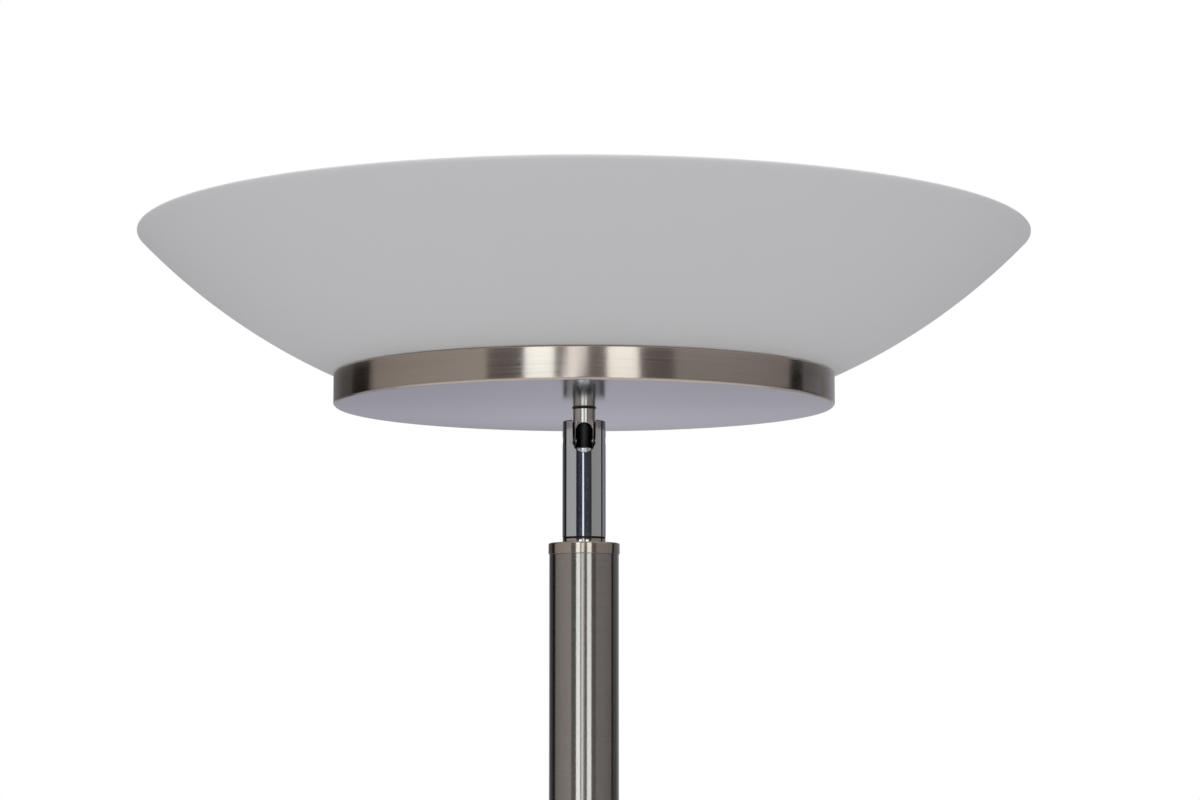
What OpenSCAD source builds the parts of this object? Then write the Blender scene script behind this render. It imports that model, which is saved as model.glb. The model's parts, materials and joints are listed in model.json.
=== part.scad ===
// Torchiere floor lamp. A shallow opal glass bowl sits in a flat metal pan, and the pan tilts
// forward on a slotted joint at the top of a slim pole. Millimetres. The origin is on the
// floor under the middle of the base, +Z is up, and the slot of the joint faces -Y, the front.

/* [Overall] */
// Height from the floor to the rim of the glass
lamp_h = 1820; // [1400:10:2200]
// Outer diameter of the glass bowl at its rim
bowl_d = 410.8; // [330:0.2:500]
// Outer diameter of the pole
pole_d = 32; // [26:0.2:40]
// Diameter of the base
base_d = 290; // [240:1:350]

/* [Glass bowl] */
// Radius of the sphere that the outside of the bowl follows
bowl_sphere_r = 287.5; // [270:0.1:350]
// Diameter of the flat floor under the bowl
glass_floor_d = 165; // [150:1:200]
// Diameter of the hole in that floor
glass_hole_d = 110; // [90:1:114]
// Thickness of the glass
glass_t = 4; // [3:0.5:5]
// Radius of the outer edge of the ground rim
rim_edge_r = 1.2; // [0.6:0.1:1.4]

/* [Pan] */
// Height of the pan's wall
pan_h = 14.5; // [12:0.5:20]
// Sheet thickness of the pan
pan_t = 1; // [0.8:0.1:1.5]
// Outer radius of the pan's lower edge
pan_edge_r = 1.5; // [1.5:0.1:4]
// Thickness of the gasket between pan and glass
lower_gasket_t = 2; // [1:0.5:3]

/* [Light unit] */
// Height of the carrier that clamps the glass and holds the lights
carrier_h = 25; // [22:1:32]
// Sheet thickness of the carrier
carrier_t = 1.2; // [1:0.1:2]
// Thickness of the gasket between glass and carrier
upper_gasket_t = 1.5; // [1:0.5:3]
// Height that the diffuser stands above the carrier
diffuser_rise = 15; // [10:1:25]
// Thickness of the diffuser
diffuser_t = 2; // [1.5:0.5:3]
// Number of light chips in the inner ring; the outer ring has twice as many
chip_count = 12; // [6:3:15]
// Height of the driver case
driver_h = 17; // [12:1:18]

/* [Tilt joint] */
// Diameter of the stem under the pan
stem_d = 10.4; // [8.6:0.1:13]
// Depth of the pivot below the underside of the pan
pivot_drop = 15.3; // [15:0.1:20]
// Outer diameter of the slotted sleeve
sleeve_d = 20; // [18:0.5:24]
// Height of the sleeve above the pivot
sleeve_above = 9; // [6:0.1:10]
// Length of the sleeve below the pivot
sleeve_below = 45; // [38:1:80]
// Depth of the round end of the slot's middle below the pivot
slot_drop = 0.5; // [0.5:0.1:3]
// Diameter of the pins that the stem turns on
pivot_pin_d = 2.5; // [2:0.5:3.5]

/* [Pole] */
// Wall thickness of the pole
pole_t = 1.2; // [1:0.1:2]
// Height of the flange on the pole's cap and on its foot
flange_h = 5.1; // [4:0.1:8]
// How far those flanges stand out past the pole all round
flange_lip = 0.4; // [0.2:0.1:2]
// Diameter of the neck between cap and sleeve
neck_d = 19.8; // [16:0.2:22]
// Height of that neck
neck_h = 1.9; // [1.5:0.1:5]

/* [Base] */
// Height of the base cover's top above the floor
base_h = 22; // [20:0.5:30]
// Sheet thickness of the base cover
cover_t = 1.2; // [1:0.1:2]
// Radius of the cover's upper edge
cover_edge_r = 5; // [3:0.5:8]
// Thickness of the bottom plate
plate_t = 1.2; // [1:0.1:2]
// Gap between the cast weight and the skirt of the cover
weight_gap = 18.8; // [14:0.2:40]
// Height of the rubber pads
pad_h = 2; // [1.5:0.5:4]

/* [Leads] */
// Diameter of the lead inside the lamp
lead_d = 5.2; // [4:0.1:5.4]
// Inner diameter of the passages that the lead runs through
lead_bore_d = 6; // [5.6:0.1:6.4]
// Diameter of the hole for the mains cord
cord_hole_d = 6.4; // [5:0.1:8]

/* [Hidden] */
$fn = 96;

// Fits
stem_gap = 0.1;       // round the stem in its sleeve
joint_gap = 0.2;      // between pieces that are kept just apart
pin_gap = 0.05;       // round a pivot pin in the stem
glass_gap = 0.45;     // between the glass and the pan's wall
part_gap = 2.4;       // between pieces of the light unit that stand side by side
wire_room = 5.4;      // behind the connector block, for its wires
slip_gap = 0.3;       // between pieces that slip past each other
hole_gap = 0.2;       // round a screw or a nipple in a plain hole
over = 1;             // how far a cut runs past the surface that it opens

// Screws: [thread diameter, head diameter, head height]
m3 = [3, 5.5, 2];
m4 = [4, 8, 2.8];
m5 = [5, 9, 3.5];

// Glass, measured up from the underside of the pan
glass_r = glass_floor_d / 2;
hole_r = glass_hole_d / 2;
glass_under = pan_t + lower_gasket_t;
glass_inside = glass_under + glass_t;
bowl_centre = glass_under + sqrt(pow(bowl_sphere_r, 2) - pow(glass_r, 2));
rim_r = bowl_d / 2 - rim_edge_r;
rim_angle = asin(rim_r / (bowl_sphere_r - rim_edge_r));
rim_centre = bowl_centre - (bowl_sphere_r - rim_edge_r) * cos(rim_angle);
rim_h = rim_centre + rim_edge_r;
pan_z = round(100 * (lamp_h - rim_h)) / 100;  // to a hundredth, as on a drawing

// Pan: its wall stands just outside the glass
glass_r_at_pan = sqrt(pow(bowl_sphere_r, 2) - pow(bowl_centre - pan_h, 2));
pan_r = glass_r_at_pan + glass_gap + pan_t;

// Light unit
gasket_margin = 4;
gasket_in_r = hole_r + gasket_margin;
gasket_out_r = glass_r - gasket_margin;
pillar_af = 8;
pillar_r = hole_r - 9;
pillar_angles = [-90, 30, 150];
pillar_corner_r = pillar_af / sqrt(3);
pillar_thread_l = 12;
pillar_screw_in = 8;
carrier_r = pillar_r + 22;
carrier_under = glass_inside + upper_gasket_t;
carrier_top = carrier_under + carrier_h;
ceiling = carrier_top - carrier_t;
board_t = 1.6;
board_in_r = pillar_r - 24;
board_out_r = pillar_r + 17;
chip = [3.5, 2.8, 0.8];
chip_ring_gap = 12;
diffuser_lap = 8;
diffuser_bead_r = 0.9;
diffuser_edge_r = 6;
driver_ear = [7, 8, 2];
driver_y = pillar_r * sin(30) - pillar_corner_r - part_gap - driver_ear[1];
driver_w = pillar_r - m3[0] / 2 - part_gap - driver_y;
driver_l = 2 * (pillar_r * cos(30) - pillar_corner_r - joint_gap - over);
wire_way_y = driver_y - 8;
terminal = [26, 14, 14];
terminal_pole_pitch = 10;
terminal_way_d = 4;
terminal_well_d = 3.6;
head_terminal_back = wire_room + pillar_corner_r - pillar_r;
head_terminal_y = head_terminal_back + terminal[1];

// Tilt joint, measured from the pivot
pivot_z = pan_z - pivot_drop;
stem_r = stem_d / 2;
stem_cheek = 1.2;
window_w = stem_d - 2 * stem_cheek;
window_top = 8.2;
stem_pocket_d = window_w - 0.4;
stem_pocket_top = 7.6;
stem_edge = 0.4;
cheek_reach = sqrt(pow(stem_r, 2) - pow(window_w / 2, 2));
bore_r = stem_r + stem_gap;
bore_floor = -cheek_reach - stem_gap;
slot_core_r = lead_bore_d / 2 + 1.5;
slot_core_taper = 0.4;
slot_core_h = 3.2;
sleeve_r = sleeve_d / 2;
sleeve_edge = 0.5;
sleeve_bottom_z = pivot_z - sleeve_below;
grub_d = 4;
grub_socket_af = 2;
grub_sink = 0.2;
stem_nipple_d = 8;
stem_washer_t = 0.4;
stem_shoulder = pivot_drop - stem_washer_t - stem_edge;
stem_washer_lip = 0.45;
lock_washer = [14, 0.8];
lock_teeth = 10;
stem_nut_size = [13, 4];
nipple_end = 1.5;
stem_top = pan_t + lock_washer[1] + stem_nut_size[1] + nipple_end;
bushing_h = 2.5;

// Threaded nipple between the sleeve and the pole's cap
nipple_d = 10;
nipple_bore_d = 7;
nipple_in_sleeve = 12;
sleeve_washer_t = 0.4;
cap_web = 3.5;
cap_washer_size = [17, 1];
sleeve_nut_size = [14, 4];
nut_bevel_angle = 30;
cap_web_z = sleeve_bottom_z - sleeve_washer_t - neck_h - cap_web;
nipple_l = nipple_in_sleeve + sleeve_bottom_z - cap_web_z + cap_washer_size[1] + sleeve_nut_size[1]
    + nipple_end;

// Pole
pole_sections = 3;
tube_r = pole_d / 2;
tube_in_r = tube_r - pole_t;
flange_r = tube_r + flange_lip;
flange_edge_r = 0.8;
tube_edge = 0.3;
pole_bottom_z = base_h + flange_h;
pole_top_z = sleeve_bottom_z - sleeve_washer_t - neck_h - flange_h;
plug_l = 16;
plug_wall = 3;
insert_wall = 4.8;
insert_l = 20;
stud_r = tube_in_r - insert_wall;
stud_l = 14;
insert_bore_r = 5;

// Base
base_r = base_d / 2;
skirt_z = pad_h - 0.5;
plate_top = pad_h + plate_t;
plate_gap = 1;
skirt_in_r = base_r - cover_t;
weight_r = skirt_in_r - weight_gap;
weight_top = base_h - cover_t;
weight_edge = 2;
weight_hole_r = insert_bore_r + 1;
foot_pcd_r = (insert_bore_r + tube_in_r) / 2;
foot_thread_l = 14;
foot_screw_in = 12;
counterbore_l = 6;
plate_screw_r = weight_r - 25;
plate_thread_l = 10;
plate_screw_in = 8;
pad_r = 9;
pad_count = 6;
pad_ring_r = base_r - 18;
gland_z = plate_top + 7.3;
gland_neck_r = cord_hole_d / 2 + 2.3;
gland_flange_r = gland_neck_r + 1;
gland_flange_t = 2.5;
gland_sleeve_r = cord_hole_d / 2 + 1.5;
gland_sleeve_l = 6;
gland_in_y = sqrt(pow(skirt_in_r, 2) - pow(gland_flange_r, 2));
base_terminal_y = 58;
pocket_gap = 2;

// Leads: straight runs joined by one round bend
lead_sides = 10;
bend_steps = 6;
base_bend_r = 12;
head_bend_r = 11;
base_lead_z = plate_top + lead_d / 2 + 1.2;
base_channel = [9, 8];
base_notch_l = base_bend_r + 2;
head_lead_u = ceiling - terminal[2] / 2;
wire_d = 1.6;
// Wires from the connector block back under it to the driver, as [y, height] from the pan
driver_wire_route = [
    [head_terminal_back, head_lead_u], [head_terminal_back - 2, head_lead_u - 0.5],
    [head_terminal_back - 4, head_lead_u - 3], [head_terminal_back - 4, 17],
    [head_terminal_back - 2, 14.5], [head_terminal_back + 2, 13.5], [driver_y - 8, 13.5],
    [driver_y - 4, 15], [driver_y - 2, 17], [driver_y - 0.5, 17.5], [driver_y, 17.5]
];
// Wires from the driver up through the carrier to the inner edge of the light board
led_wire_u = ceiling + carrier_t + wire_d / 2;
led_wire_route = [
    [driver_y, ceiling - 3], [driver_y - 1, ceiling - 3], [wire_way_y + 3, ceiling - 2.6],
    [wire_way_y + 0.6, ceiling - 1], [wire_way_y, ceiling + 0.6], [wire_way_y - 1.2, led_wire_u],
    [wire_way_y - 3, led_wire_u + joint_gap], [slip_gap - board_in_r, led_wire_u + joint_gap]
];
led_wire_x = 1.5;

// Colours
nickel = [0.68, 0.66, 0.62];
bright = [0.82, 0.83, 0.85];
zinc = [0.72, 0.74, 0.76];
black = [0.08, 0.08, 0.09];

// ---- Frames -------------------------------------------------------------------------------

module at_pan() translate([0, 0, pan_z]) children();
module at_pivot() translate([0, 0, pivot_z]) children();
module at_pillars(turn = 0)
    for (a = pillar_angles) rotate([0, 0, a + turn]) translate([pillar_r, 0, 0]) children();

// ---- Shapes that repeat ---------------------------------------------------------------------

// A flat ring
module ring(out_r, in_r, h) difference() {
    cylinder(r = out_r, h = h);
    translate([0, 0, -over]) cylinder(r = in_r, h = h + 2 * over);
}

// Half of a disc's section, with a round outer edge at the bottom
module dish_section(r, h, edge) {
    translate([0, edge]) square([r, h - edge]);
    square([r - edge, edge]);
    translate([r - edge, edge]) circle(r = edge);
}

// A hexagon across its flats
module hexagon(af) circle(d = af * 2 / sqrt(3), $fn = 6);

// A hexagon nut with turned corners
module nut(size, thread_d) difference() {
    intersection() {
        linear_extrude(size[1]) hexagon(size[0]);
        turned_corners(size[0] / 2, size[0] / sqrt(3) + over, size[1]);
    }
    translate([0, 0, -over]) cylinder(d = thread_d, h = size[1] + 2 * over);
}
module turned_corners(flat_r, out_r, h) {
    bevel = (out_r - flat_r) * tan(nut_bevel_angle);
    rotate_extrude()
        polygon([[0, 0], [flat_r, 0], [out_r, bevel], [out_r, h - bevel], [flat_r, h], [0, h]]);
}

// A screw that points down from the origin, with a domed cross-slot head above it
module screw(size, l) difference() {
    union() {
        translate([0, 0, -l]) cylinder(d = size[0], h = l);
        head_dome(size);
    }
    for (a = [0, 90]) rotate([0, 0, a])
        translate([-size[0] / 2, -size[0] / 10, size[2] / 2]) cube([size[0], size[0] / 5, size[2]]);
}
module head_dome(size) rotate_extrude() intersection() {
    square([size[1] / 2, size[2]]);
    translate([0, -size[1] / 4]) circle(r = size[2] + size[1] / 4);
}

// A rectangle with round corners
module rounded_rect(size, r) {
    translate([r, 0]) square([size[0] - 2 * r, size[1]]);
    translate([0, r]) square([size[0], size[1] - 2 * r]);
    for (x = [r, size[0] - r], y = [r, size[1] - r]) translate([x, y]) circle(r = r);
}

// A connector block for two wires, hung from z = 0, with ways through it and screw wells
module connector_block(size) difference() {
    translate([-size[0] / 2, 0, -size[2]]) linear_extrude(size[2]) rounded_rect([size[0], size[1]], 1);
    for (x = [-0.5, 0.5] * terminal_pole_pitch) {
        translate([x, -over, -size[2] / 2]) rotate([-90, 0, 0])
            cylinder(d = terminal_way_d, h = size[1] + 2 * over);
        for (y = [terminal_way_d, size[1] - terminal_way_d])
            translate([x, y, -size[2] - over]) cylinder(d = terminal_well_d, h = size[2] / 2);
    }
}

// A round lead or wire through a route in a plane across X: a ring of corners at each point
function unit(v) = v / norm(v);
function heading(route, i) = unit(
    (i == 0 ? [0, 0, 0] : unit(route[i] - route[i - 1]))
    + (i == len(route) - 1 ? [0, 0, 0] : unit(route[i + 1] - route[i])));
function corners(route, i, r) = let (side = [1, 0, 0], up = cross(heading(route, i), side))
    [for (k = [0 : lead_sides - 1]) let (a = 360 * k / lead_sides)
        route[i] + r * (cos(a) * side + sin(a) * up)];
function quarter_bend(centre, r, from, to) =
    [for (k = [0 : bend_steps]) let (a = from + (to - from) * k / bend_steps)
        centre + r * [0, cos(a), sin(a)]];
module lead(route, d) polyhedron(
    points = [for (i = [0 : len(route) - 1]) each corners(route, i, d / 2)],
    faces = concat(
        [[for (k = [0 : lead_sides - 1]) k]],
        [for (i = [0 : len(route) - 2], k = [0 : lead_sides - 1])
            let (a = i * lead_sides, next = (k + 1) % lead_sides)
            [a + k, a + lead_sides + k, a + lead_sides + next, a + next]],
        [[for (k = [lead_sides - 1 : -1 : 0]) (len(route) - 1) * lead_sides + k]]));

// ---- Head: glass and pan ----------------------------------------------------------------------

module glass_section() {
    // wall, from the floor to the flat rim
    intersection() {
        translate([0, bowl_centre]) difference() {
            circle(r = bowl_sphere_r, $fn = 360);
            circle(r = bowl_sphere_r - glass_t, $fn = 360);
        }
        polygon([
            [hole_r, glass_under], [bowl_sphere_r, glass_under],
            [(bowl_sphere_r + over) * sin(rim_angle), bowl_centre - (bowl_sphere_r + over) * cos(rim_angle)],
            [rim_r, rim_centre], [rim_r, rim_h], [hole_r, rim_h]
        ]);
    }
    // outer edge of the rim
    translate([rim_r, rim_centre]) circle(r = rim_edge_r);
    // floor, out to the middle of the wall
    intersection() {
        translate([hole_r, glass_under]) square([glass_r, glass_t]);
        translate([0, bowl_centre]) circle(r = bowl_sphere_r - glass_t / 2, $fn = 360);
    }
}
module glass_bowl() color([0.9, 0.91, 0.92]) at_pan() rotate_extrude($fn = 180) glass_section();

module lower_gasket() color([0.85, 0.85, 0.83]) at_pan()
    translate([0, 0, pan_t]) ring(gasket_out_r, gasket_in_r, lower_gasket_t);
module upper_gasket() color([0.85, 0.85, 0.83]) at_pan()
    translate([0, 0, glass_inside]) ring(gasket_out_r, gasket_in_r, upper_gasket_t);

module pan() color(nickel) at_pan() difference() {
    rotate_extrude($fn = 180) {
        difference() {
            dish_section(pan_r, pan_h - pan_t / 2, pan_edge_r);
            translate([0, pan_t]) dish_section(pan_r - pan_t, pan_h, pan_edge_r - pan_t + joint_gap);
        }
        translate([pan_r - pan_t / 2, pan_h - pan_t / 2]) circle(d = pan_t);
    }
    translate([0, 0, -over]) cylinder(d = stem_nipple_d + hole_gap, h = pan_t + 2 * over);
}

// ---- Head: light unit ---------------------------------------------------------------------------

module carrier_pillars() color(zinc) at_pan() at_pillars() difference() {
    translate([0, 0, pan_t]) linear_extrude(ceiling - pan_t) hexagon(pillar_af);
    translate([0, 0, ceiling - pillar_thread_l]) cylinder(d = m4[0], h = pillar_thread_l + over);
}

module led_carrier() color([0.93, 0.93, 0.92]) at_pan() difference() {
    rotate_extrude() {
        // top plate and wall
        difference() {
            translate([0, carrier_under]) square([carrier_r, carrier_h]);
            translate([0, carrier_under - over])
                square([carrier_r - carrier_t, carrier_h + over - carrier_t]);
        }
        // flange on the gasket
        translate([carrier_r - carrier_t, carrier_under])
            square([gasket_out_r - carrier_r + carrier_t, carrier_t]);
        // bead that the diffuser rests on
        translate([carrier_r, carrier_top - diffuser_lap - diffuser_bead_r]) circle(r = diffuser_bead_r);
    }
    at_pillars() translate([0, 0, ceiling - over])
        cylinder(d = m4[0] + hole_gap, h = carrier_t + 2 * over);
    at_pillars(60) translate([0, 0, ceiling - over]) cylinder(d = m3[0], h = carrier_t + 2 * over);
    driver_fixings() translate([0, 0, ceiling - over]) cylinder(d = m3[0], h = carrier_t + 2 * over);
    // way for the wires of the lights
    translate([0, wire_way_y, ceiling - over]) cylinder(d = lead_bore_d, h = carrier_t + 2 * over);
}

module carrier_screws() color(zinc) at_pan()
    at_pillars() translate([0, 0, carrier_top]) screw(m4, carrier_t + pillar_screw_in);

module led_board() color([0.95, 0.95, 0.93]) at_pan() translate([0, 0, carrier_top]) difference() {
    ring(board_out_r, board_in_r, board_t);
    at_pillars() translate([0, 0, -over]) cylinder(d = m4[1] + 1, h = board_t + 2 * over);
    at_pillars(60) translate([0, 0, -over]) cylinder(d = m3[0] + hole_gap, h = board_t + 2 * over);
    driver_fixings() translate([0, 0, -over]) cylinder(d = m3[1] + 1, h = board_t + 2 * over);
}

module led_chips() color([0.95, 0.85, 0.45]) at_pan() {
    chip_ring(pillar_r - chip_ring_gap, chip_count);
    chip_ring(pillar_r + chip_ring_gap, 2 * chip_count);
}
module chip_ring(r, count) for (k = [0 : count - 1])
    rotate([0, 0, 360 * (k + 0.5) / count]) translate([r, 0, carrier_top + board_t])
        translate([-chip[0], -chip[1], 0] / 2) cube(chip);

module board_screws() color(zinc) at_pan()
    at_pillars(60) translate([0, 0, carrier_top + board_t]) screw(m3, board_t + carrier_t + 1.5);

// An opal cap over the lights, with a slight crown
module diffuser() color([0.97, 0.97, 0.95]) at_pan()
    translate([0, 0, carrier_top - diffuser_lap]) rotate_extrude() difference() {
        cap_section(carrier_r + slip_gap + diffuser_t, diffuser_lap + diffuser_rise, diffuser_edge_r);
        translate([0, -over]) cap_section(carrier_r + slip_gap,
            diffuser_lap + diffuser_rise - diffuser_t + over, diffuser_edge_r - diffuser_t);
    }
module cap_section(r, h, edge) {
    square([r, h - edge]);
    square([r - edge, h]);
    translate([r - edge, h - edge]) circle(r = edge);
}

// Places of the two screws that hold the driver, beside its case
module driver_fixings() for (x = [-1, 1])
    translate([x * (driver_l + driver_ear[0]) / 2, driver_y + driver_ear[1] / 2, 0]) children();

module driver_case() color([0.88, 0.88, 0.86]) at_pan() difference() {
    union() {
        translate([-driver_l / 2, driver_y, ceiling - driver_h])
            linear_extrude(driver_h) rounded_rect([driver_l, driver_w], 2);
        translate([-driver_l / 2 - driver_ear[0], driver_y, ceiling - driver_ear[2]])
            cube([driver_l + 2 * driver_ear[0], driver_ear[1], driver_ear[2]]);
    }
    driver_fixings() translate([0, 0, ceiling - driver_ear[2] - over])
        cylinder(d = m3[0] + hole_gap, h = driver_ear[2] + 2 * over);
}

module driver_screws() color(zinc) at_pan()
    driver_fixings() translate([0, 0, carrier_top]) screw(m3, carrier_t + driver_ear[2] + 2);

// Two wires side by side along a route given as [y, height]
module wire_pair(route, x) for (side = [-x, x]) lead([for (p = route) [side, p[0], p[1]]], wire_d);
module driver_wires() color([0.2, 0.3, 0.6]) at_pan() wire_pair(driver_wire_route, terminal_pole_pitch / 2);
module led_wires() color([0.7, 0.15, 0.12]) at_pan() wire_pair(led_wire_route, led_wire_x);

module head_terminal() color([0.9, 0.88, 0.8]) at_pan()
    translate([0, head_terminal_back, ceiling]) connector_block(terminal);

// ---- Head: stem -----------------------------------------------------------------------------------

// The tube that hangs under the pan. Its lower end is bored out to a thin wall, and a window in
// its front lets the lead pass when it is tilted.
module stem() color(nickel) at_pivot() difference() {
    union() {
        cylinder(r = stem_r, h = stem_shoulder);
        translate([0, 0, stem_shoulder]) cylinder(r1 = stem_r, r2 = stem_r - stem_edge, h = stem_edge);
        cylinder(d = stem_nipple_d, h = pivot_drop + stem_top);
        stem_end();
    }
    translate([0, 0, -stem_d]) {
        cylinder(d = lead_bore_d, h = stem_d + pivot_drop + stem_top + over);
        cylinder(d = stem_pocket_d, h = stem_d + stem_pocket_top);
    }
    stem_window();
    rotate([0, 90, 0]) cylinder(d = pivot_pin_d + 2 * pin_gap, h = stem_d + 2 * over, center = true);
}
// Below the pivot the stem is a ball at the back and a roller at the front, so that it turns
// on the floor of the bore.
module stem_end() intersection() {
    sphere(r = stem_r);
    union() {
        translate([-stem_r, 0, -cheek_reach]) cube([stem_d, stem_r, cheek_reach]);
        rotate([0, 90, 0]) cylinder(r = cheek_reach, h = stem_d, center = true);
    }
}
module stem_window() rotate([90, 0, 0]) linear_extrude(stem_d) {
    translate([0, window_top - window_w / 2]) circle(d = window_w);
    translate([-window_w / 2, -stem_d]) square([window_w, stem_d + window_top - window_w / 2]);
}

module stem_washer() color(black) at_pan() translate([0, 0, -stem_washer_t])
    ring(stem_r + stem_washer_lip, stem_nipple_d / 2 + hole_gap, stem_washer_t);

module stem_lock_washer() color(zinc) at_pan() translate([0, 0, pan_t]) difference() {
    ring(lock_washer[0] / 2, stem_nipple_d / 2 + hole_gap, lock_washer[1]);
    for (k = [0 : lock_teeth - 1]) rotate([0, 0, 360 * k / lock_teeth])
        translate([lock_washer[0] / 2, 0, -over]) cylinder(r = 0.8, h = lock_washer[1] + 2 * over);
}

module stem_nut() color(zinc) at_pan()
    translate([0, 0, pan_t + lock_washer[1]]) nut(stem_nut_size, stem_nipple_d);

module stem_bushing() color(black) at_pan() translate([0, 0, stem_top])
    ring(stem_nipple_d / 2 + 1, lead_d / 2 + hole_gap, bushing_h);

// The lead from the pivot up into the connector block under the carrier
module head_lead() color(black) at_pan() {
    lead(concat(
        [[0, 0, -pivot_drop]],
        quarter_bend([0, -head_bend_r, head_lead_u - head_bend_r], head_bend_r, 0, 90),
        [[0, head_terminal_y, head_lead_u]]), lead_d);
    translate([0, 0, -pivot_drop]) intersection() {
        sphere(d = lead_d);
        translate([-lead_d, -lead_d, -lead_d]) cube([2 * lead_d, 2 * lead_d, lead_d]);
    }
}

// ---- Stand: joint ---------------------------------------------------------------------------------

// The slotted sleeve. The slot runs down past the floor of the bore, where it lays bare a
// tapered core at its round end.
module joint_sleeve() color(bright) at_pivot() difference() {
    translate([0, 0, -sleeve_below])
        chamfered_rod(sleeve_r, sleeve_below + sleeve_above, sleeve_edge);
    translate([0, 0, bore_floor]) cylinder(r = bore_r, h = sleeve_above - bore_floor + over);
    slot_cut() translate([-bore_r, bore_floor]) square([2 * bore_r, sleeve_above - bore_floor + over]);
    difference() {
        slot_cut() translate([-bore_r, -sleeve_d]) square([2 * bore_r, sleeve_d + bore_floor]);
        translate([0, 0, bore_floor - slot_core_h])
            cylinder(r1 = slot_core_r, r2 = slot_core_r - slot_core_taper, h = slot_core_h);
    }
    translate([0, 0, -sleeve_below]) cylinder(d = lead_bore_d, h = sleeve_below);
    translate([0, 0, -sleeve_below - over]) cylinder(d = nipple_d, h = nipple_in_sleeve + over);
    rotate([0, 90, 0]) cylinder(d = grub_d, h = sleeve_d + 2 * over, center = true);
}
// The slot from the front back to the pivot, kept to the outline given as its child
module slot_cut() rotate([90, 0, 0]) linear_extrude(sleeve_d) intersection() {
    union() {
        translate([0, -slot_drop]) circle(r = bore_r);
        translate([-bore_r, -slot_drop]) square([2 * bore_r, sleeve_above + slot_drop + over]);
    }
    children();
}
module chamfered_rod(r, h, edge) rotate_extrude() polygon([
    [0, 0], [r - edge, 0], [r, edge], [r, h - edge], [r - edge, h], [0, h]
]);

// Two grub screws whose dog points are the pivot
module pivot_screws() color(zinc) at_pivot() for (side = [-1, 1]) rotate([0, side * 90, 0]) difference() {
    union() {
        translate([0, 0, stem_pocket_d / 2]) cylinder(d = pivot_pin_d, h = sleeve_r / 2);
        translate([0, 0, bore_r + joint_gap])
            cylinder(d = grub_d, h = sleeve_r - grub_sink - bore_r - joint_gap);
    }
    translate([0, 0, sleeve_r - grub_socket_af]) linear_extrude(grub_socket_af) hexagon(grub_socket_af);
}

module sleeve_nipple() color(zinc) translate([0, 0, sleeve_bottom_z + nipple_in_sleeve - nipple_l])
    ring(nipple_d / 2, nipple_bore_d / 2, nipple_l);
module sleeve_washer() color(black) translate([0, 0, sleeve_bottom_z - sleeve_washer_t])
    ring(neck_d / 2 - 0.1, nipple_d / 2 + hole_gap, sleeve_washer_t);
module cap_washer() color(zinc) translate([0, 0, cap_web_z - cap_washer_size[1]])
    ring(cap_washer_size[0] / 2, nipple_d / 2 + hole_gap, cap_washer_size[1]);
module sleeve_nut() color(zinc)
    translate([0, 0, cap_web_z - cap_washer_size[1] - sleeve_nut_size[1]]) nut(sleeve_nut_size, nipple_d);

// ---- Stand: pole ------------------------------------------------------------------------------------

module pole_cap() color(nickel) difference() {
    union() {
        translate([0, 0, pole_top_z]) {
            cylinder(d = neck_d, h = flange_h + neck_h);
            rotate_extrude() cap_section(flange_r, flange_h, flange_edge_r);
        }
        translate([0, 0, pole_top_z - plug_l]) chamfered_rod(tube_in_r, plug_l + over, tube_edge);
    }
    translate([0, 0, pole_top_z - plug_l - over])
        cylinder(r = tube_in_r - plug_wall, h = cap_web_z - pole_top_z + plug_l + over);
    translate([0, 0, cap_web_z - over]) cylinder(d = nipple_d + hole_gap, h = cap_web + neck_h + 2 * over);
}

// Height of the lower end of pole section k, to a tenth
function section_z(k) =
    pole_bottom_z + round(10 * k * (pole_top_z - pole_bottom_z) / pole_sections) / 10;
module pole_section(k, l) color(nickel) translate([0, 0, section_z(k)]) difference() {
    chamfered_rod(tube_r, l, tube_edge);
    translate([0, 0, -over]) cylinder(r = tube_in_r, h = l + 2 * over);
}
module pole_bottom() pole_section(0, section_z(1) - section_z(0));
module pole_middle() pole_section(1, section_z(2) - section_z(1));
module pole_top() pole_section(2, pole_top_z - section_z(2));

module at_pole_joints() for (k = [1 : pole_sections - 1])
    translate([0, 0, section_z(k)]) children();
module socket_inserts() color(zinc) at_pole_joints()
    translate([0, 0, -insert_l]) ring(tube_in_r, stud_r, insert_l);
module stud_inserts() color(zinc) at_pole_joints() difference() {
    union() {
        cylinder(r = tube_in_r, h = insert_l);
        translate([0, 0, -stud_l]) chamfered_rod(stud_r, stud_l + over, tube_edge);
    }
    translate([0, 0, -stud_l - over]) cylinder(r = insert_bore_r, h = stud_l + insert_l + 2 * over);
}

module pole_foot() color(nickel) translate([0, 0, base_h]) difference() {
    union() {
        translate([0, 0, flange_h]) mirror([0, 0, 1])
            rotate_extrude() cap_section(flange_r, flange_h, flange_edge_r);
        translate([0, 0, flange_h - over]) chamfered_rod(tube_in_r, insert_l + over, tube_edge);
    }
    translate([0, 0, -over]) cylinder(r = insert_bore_r, h = flange_h + insert_l + 2 * over);
    at_foot_screws() translate([0, 0, -over]) cylinder(d = m5[0], h = foot_thread_l + over);
}
module at_foot_screws() for (a = pillar_angles) rotate([0, 0, a]) translate([foot_pcd_r, 0, 0]) children();

module foot_screws() color(zinc) at_foot_screws() translate([0, 0, plate_top + counterbore_l])
    mirror([0, 0, 1]) screw(m5, base_h - plate_top - counterbore_l + foot_screw_in);

// ---- Stand: base --------------------------------------------------------------------------------------

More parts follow.
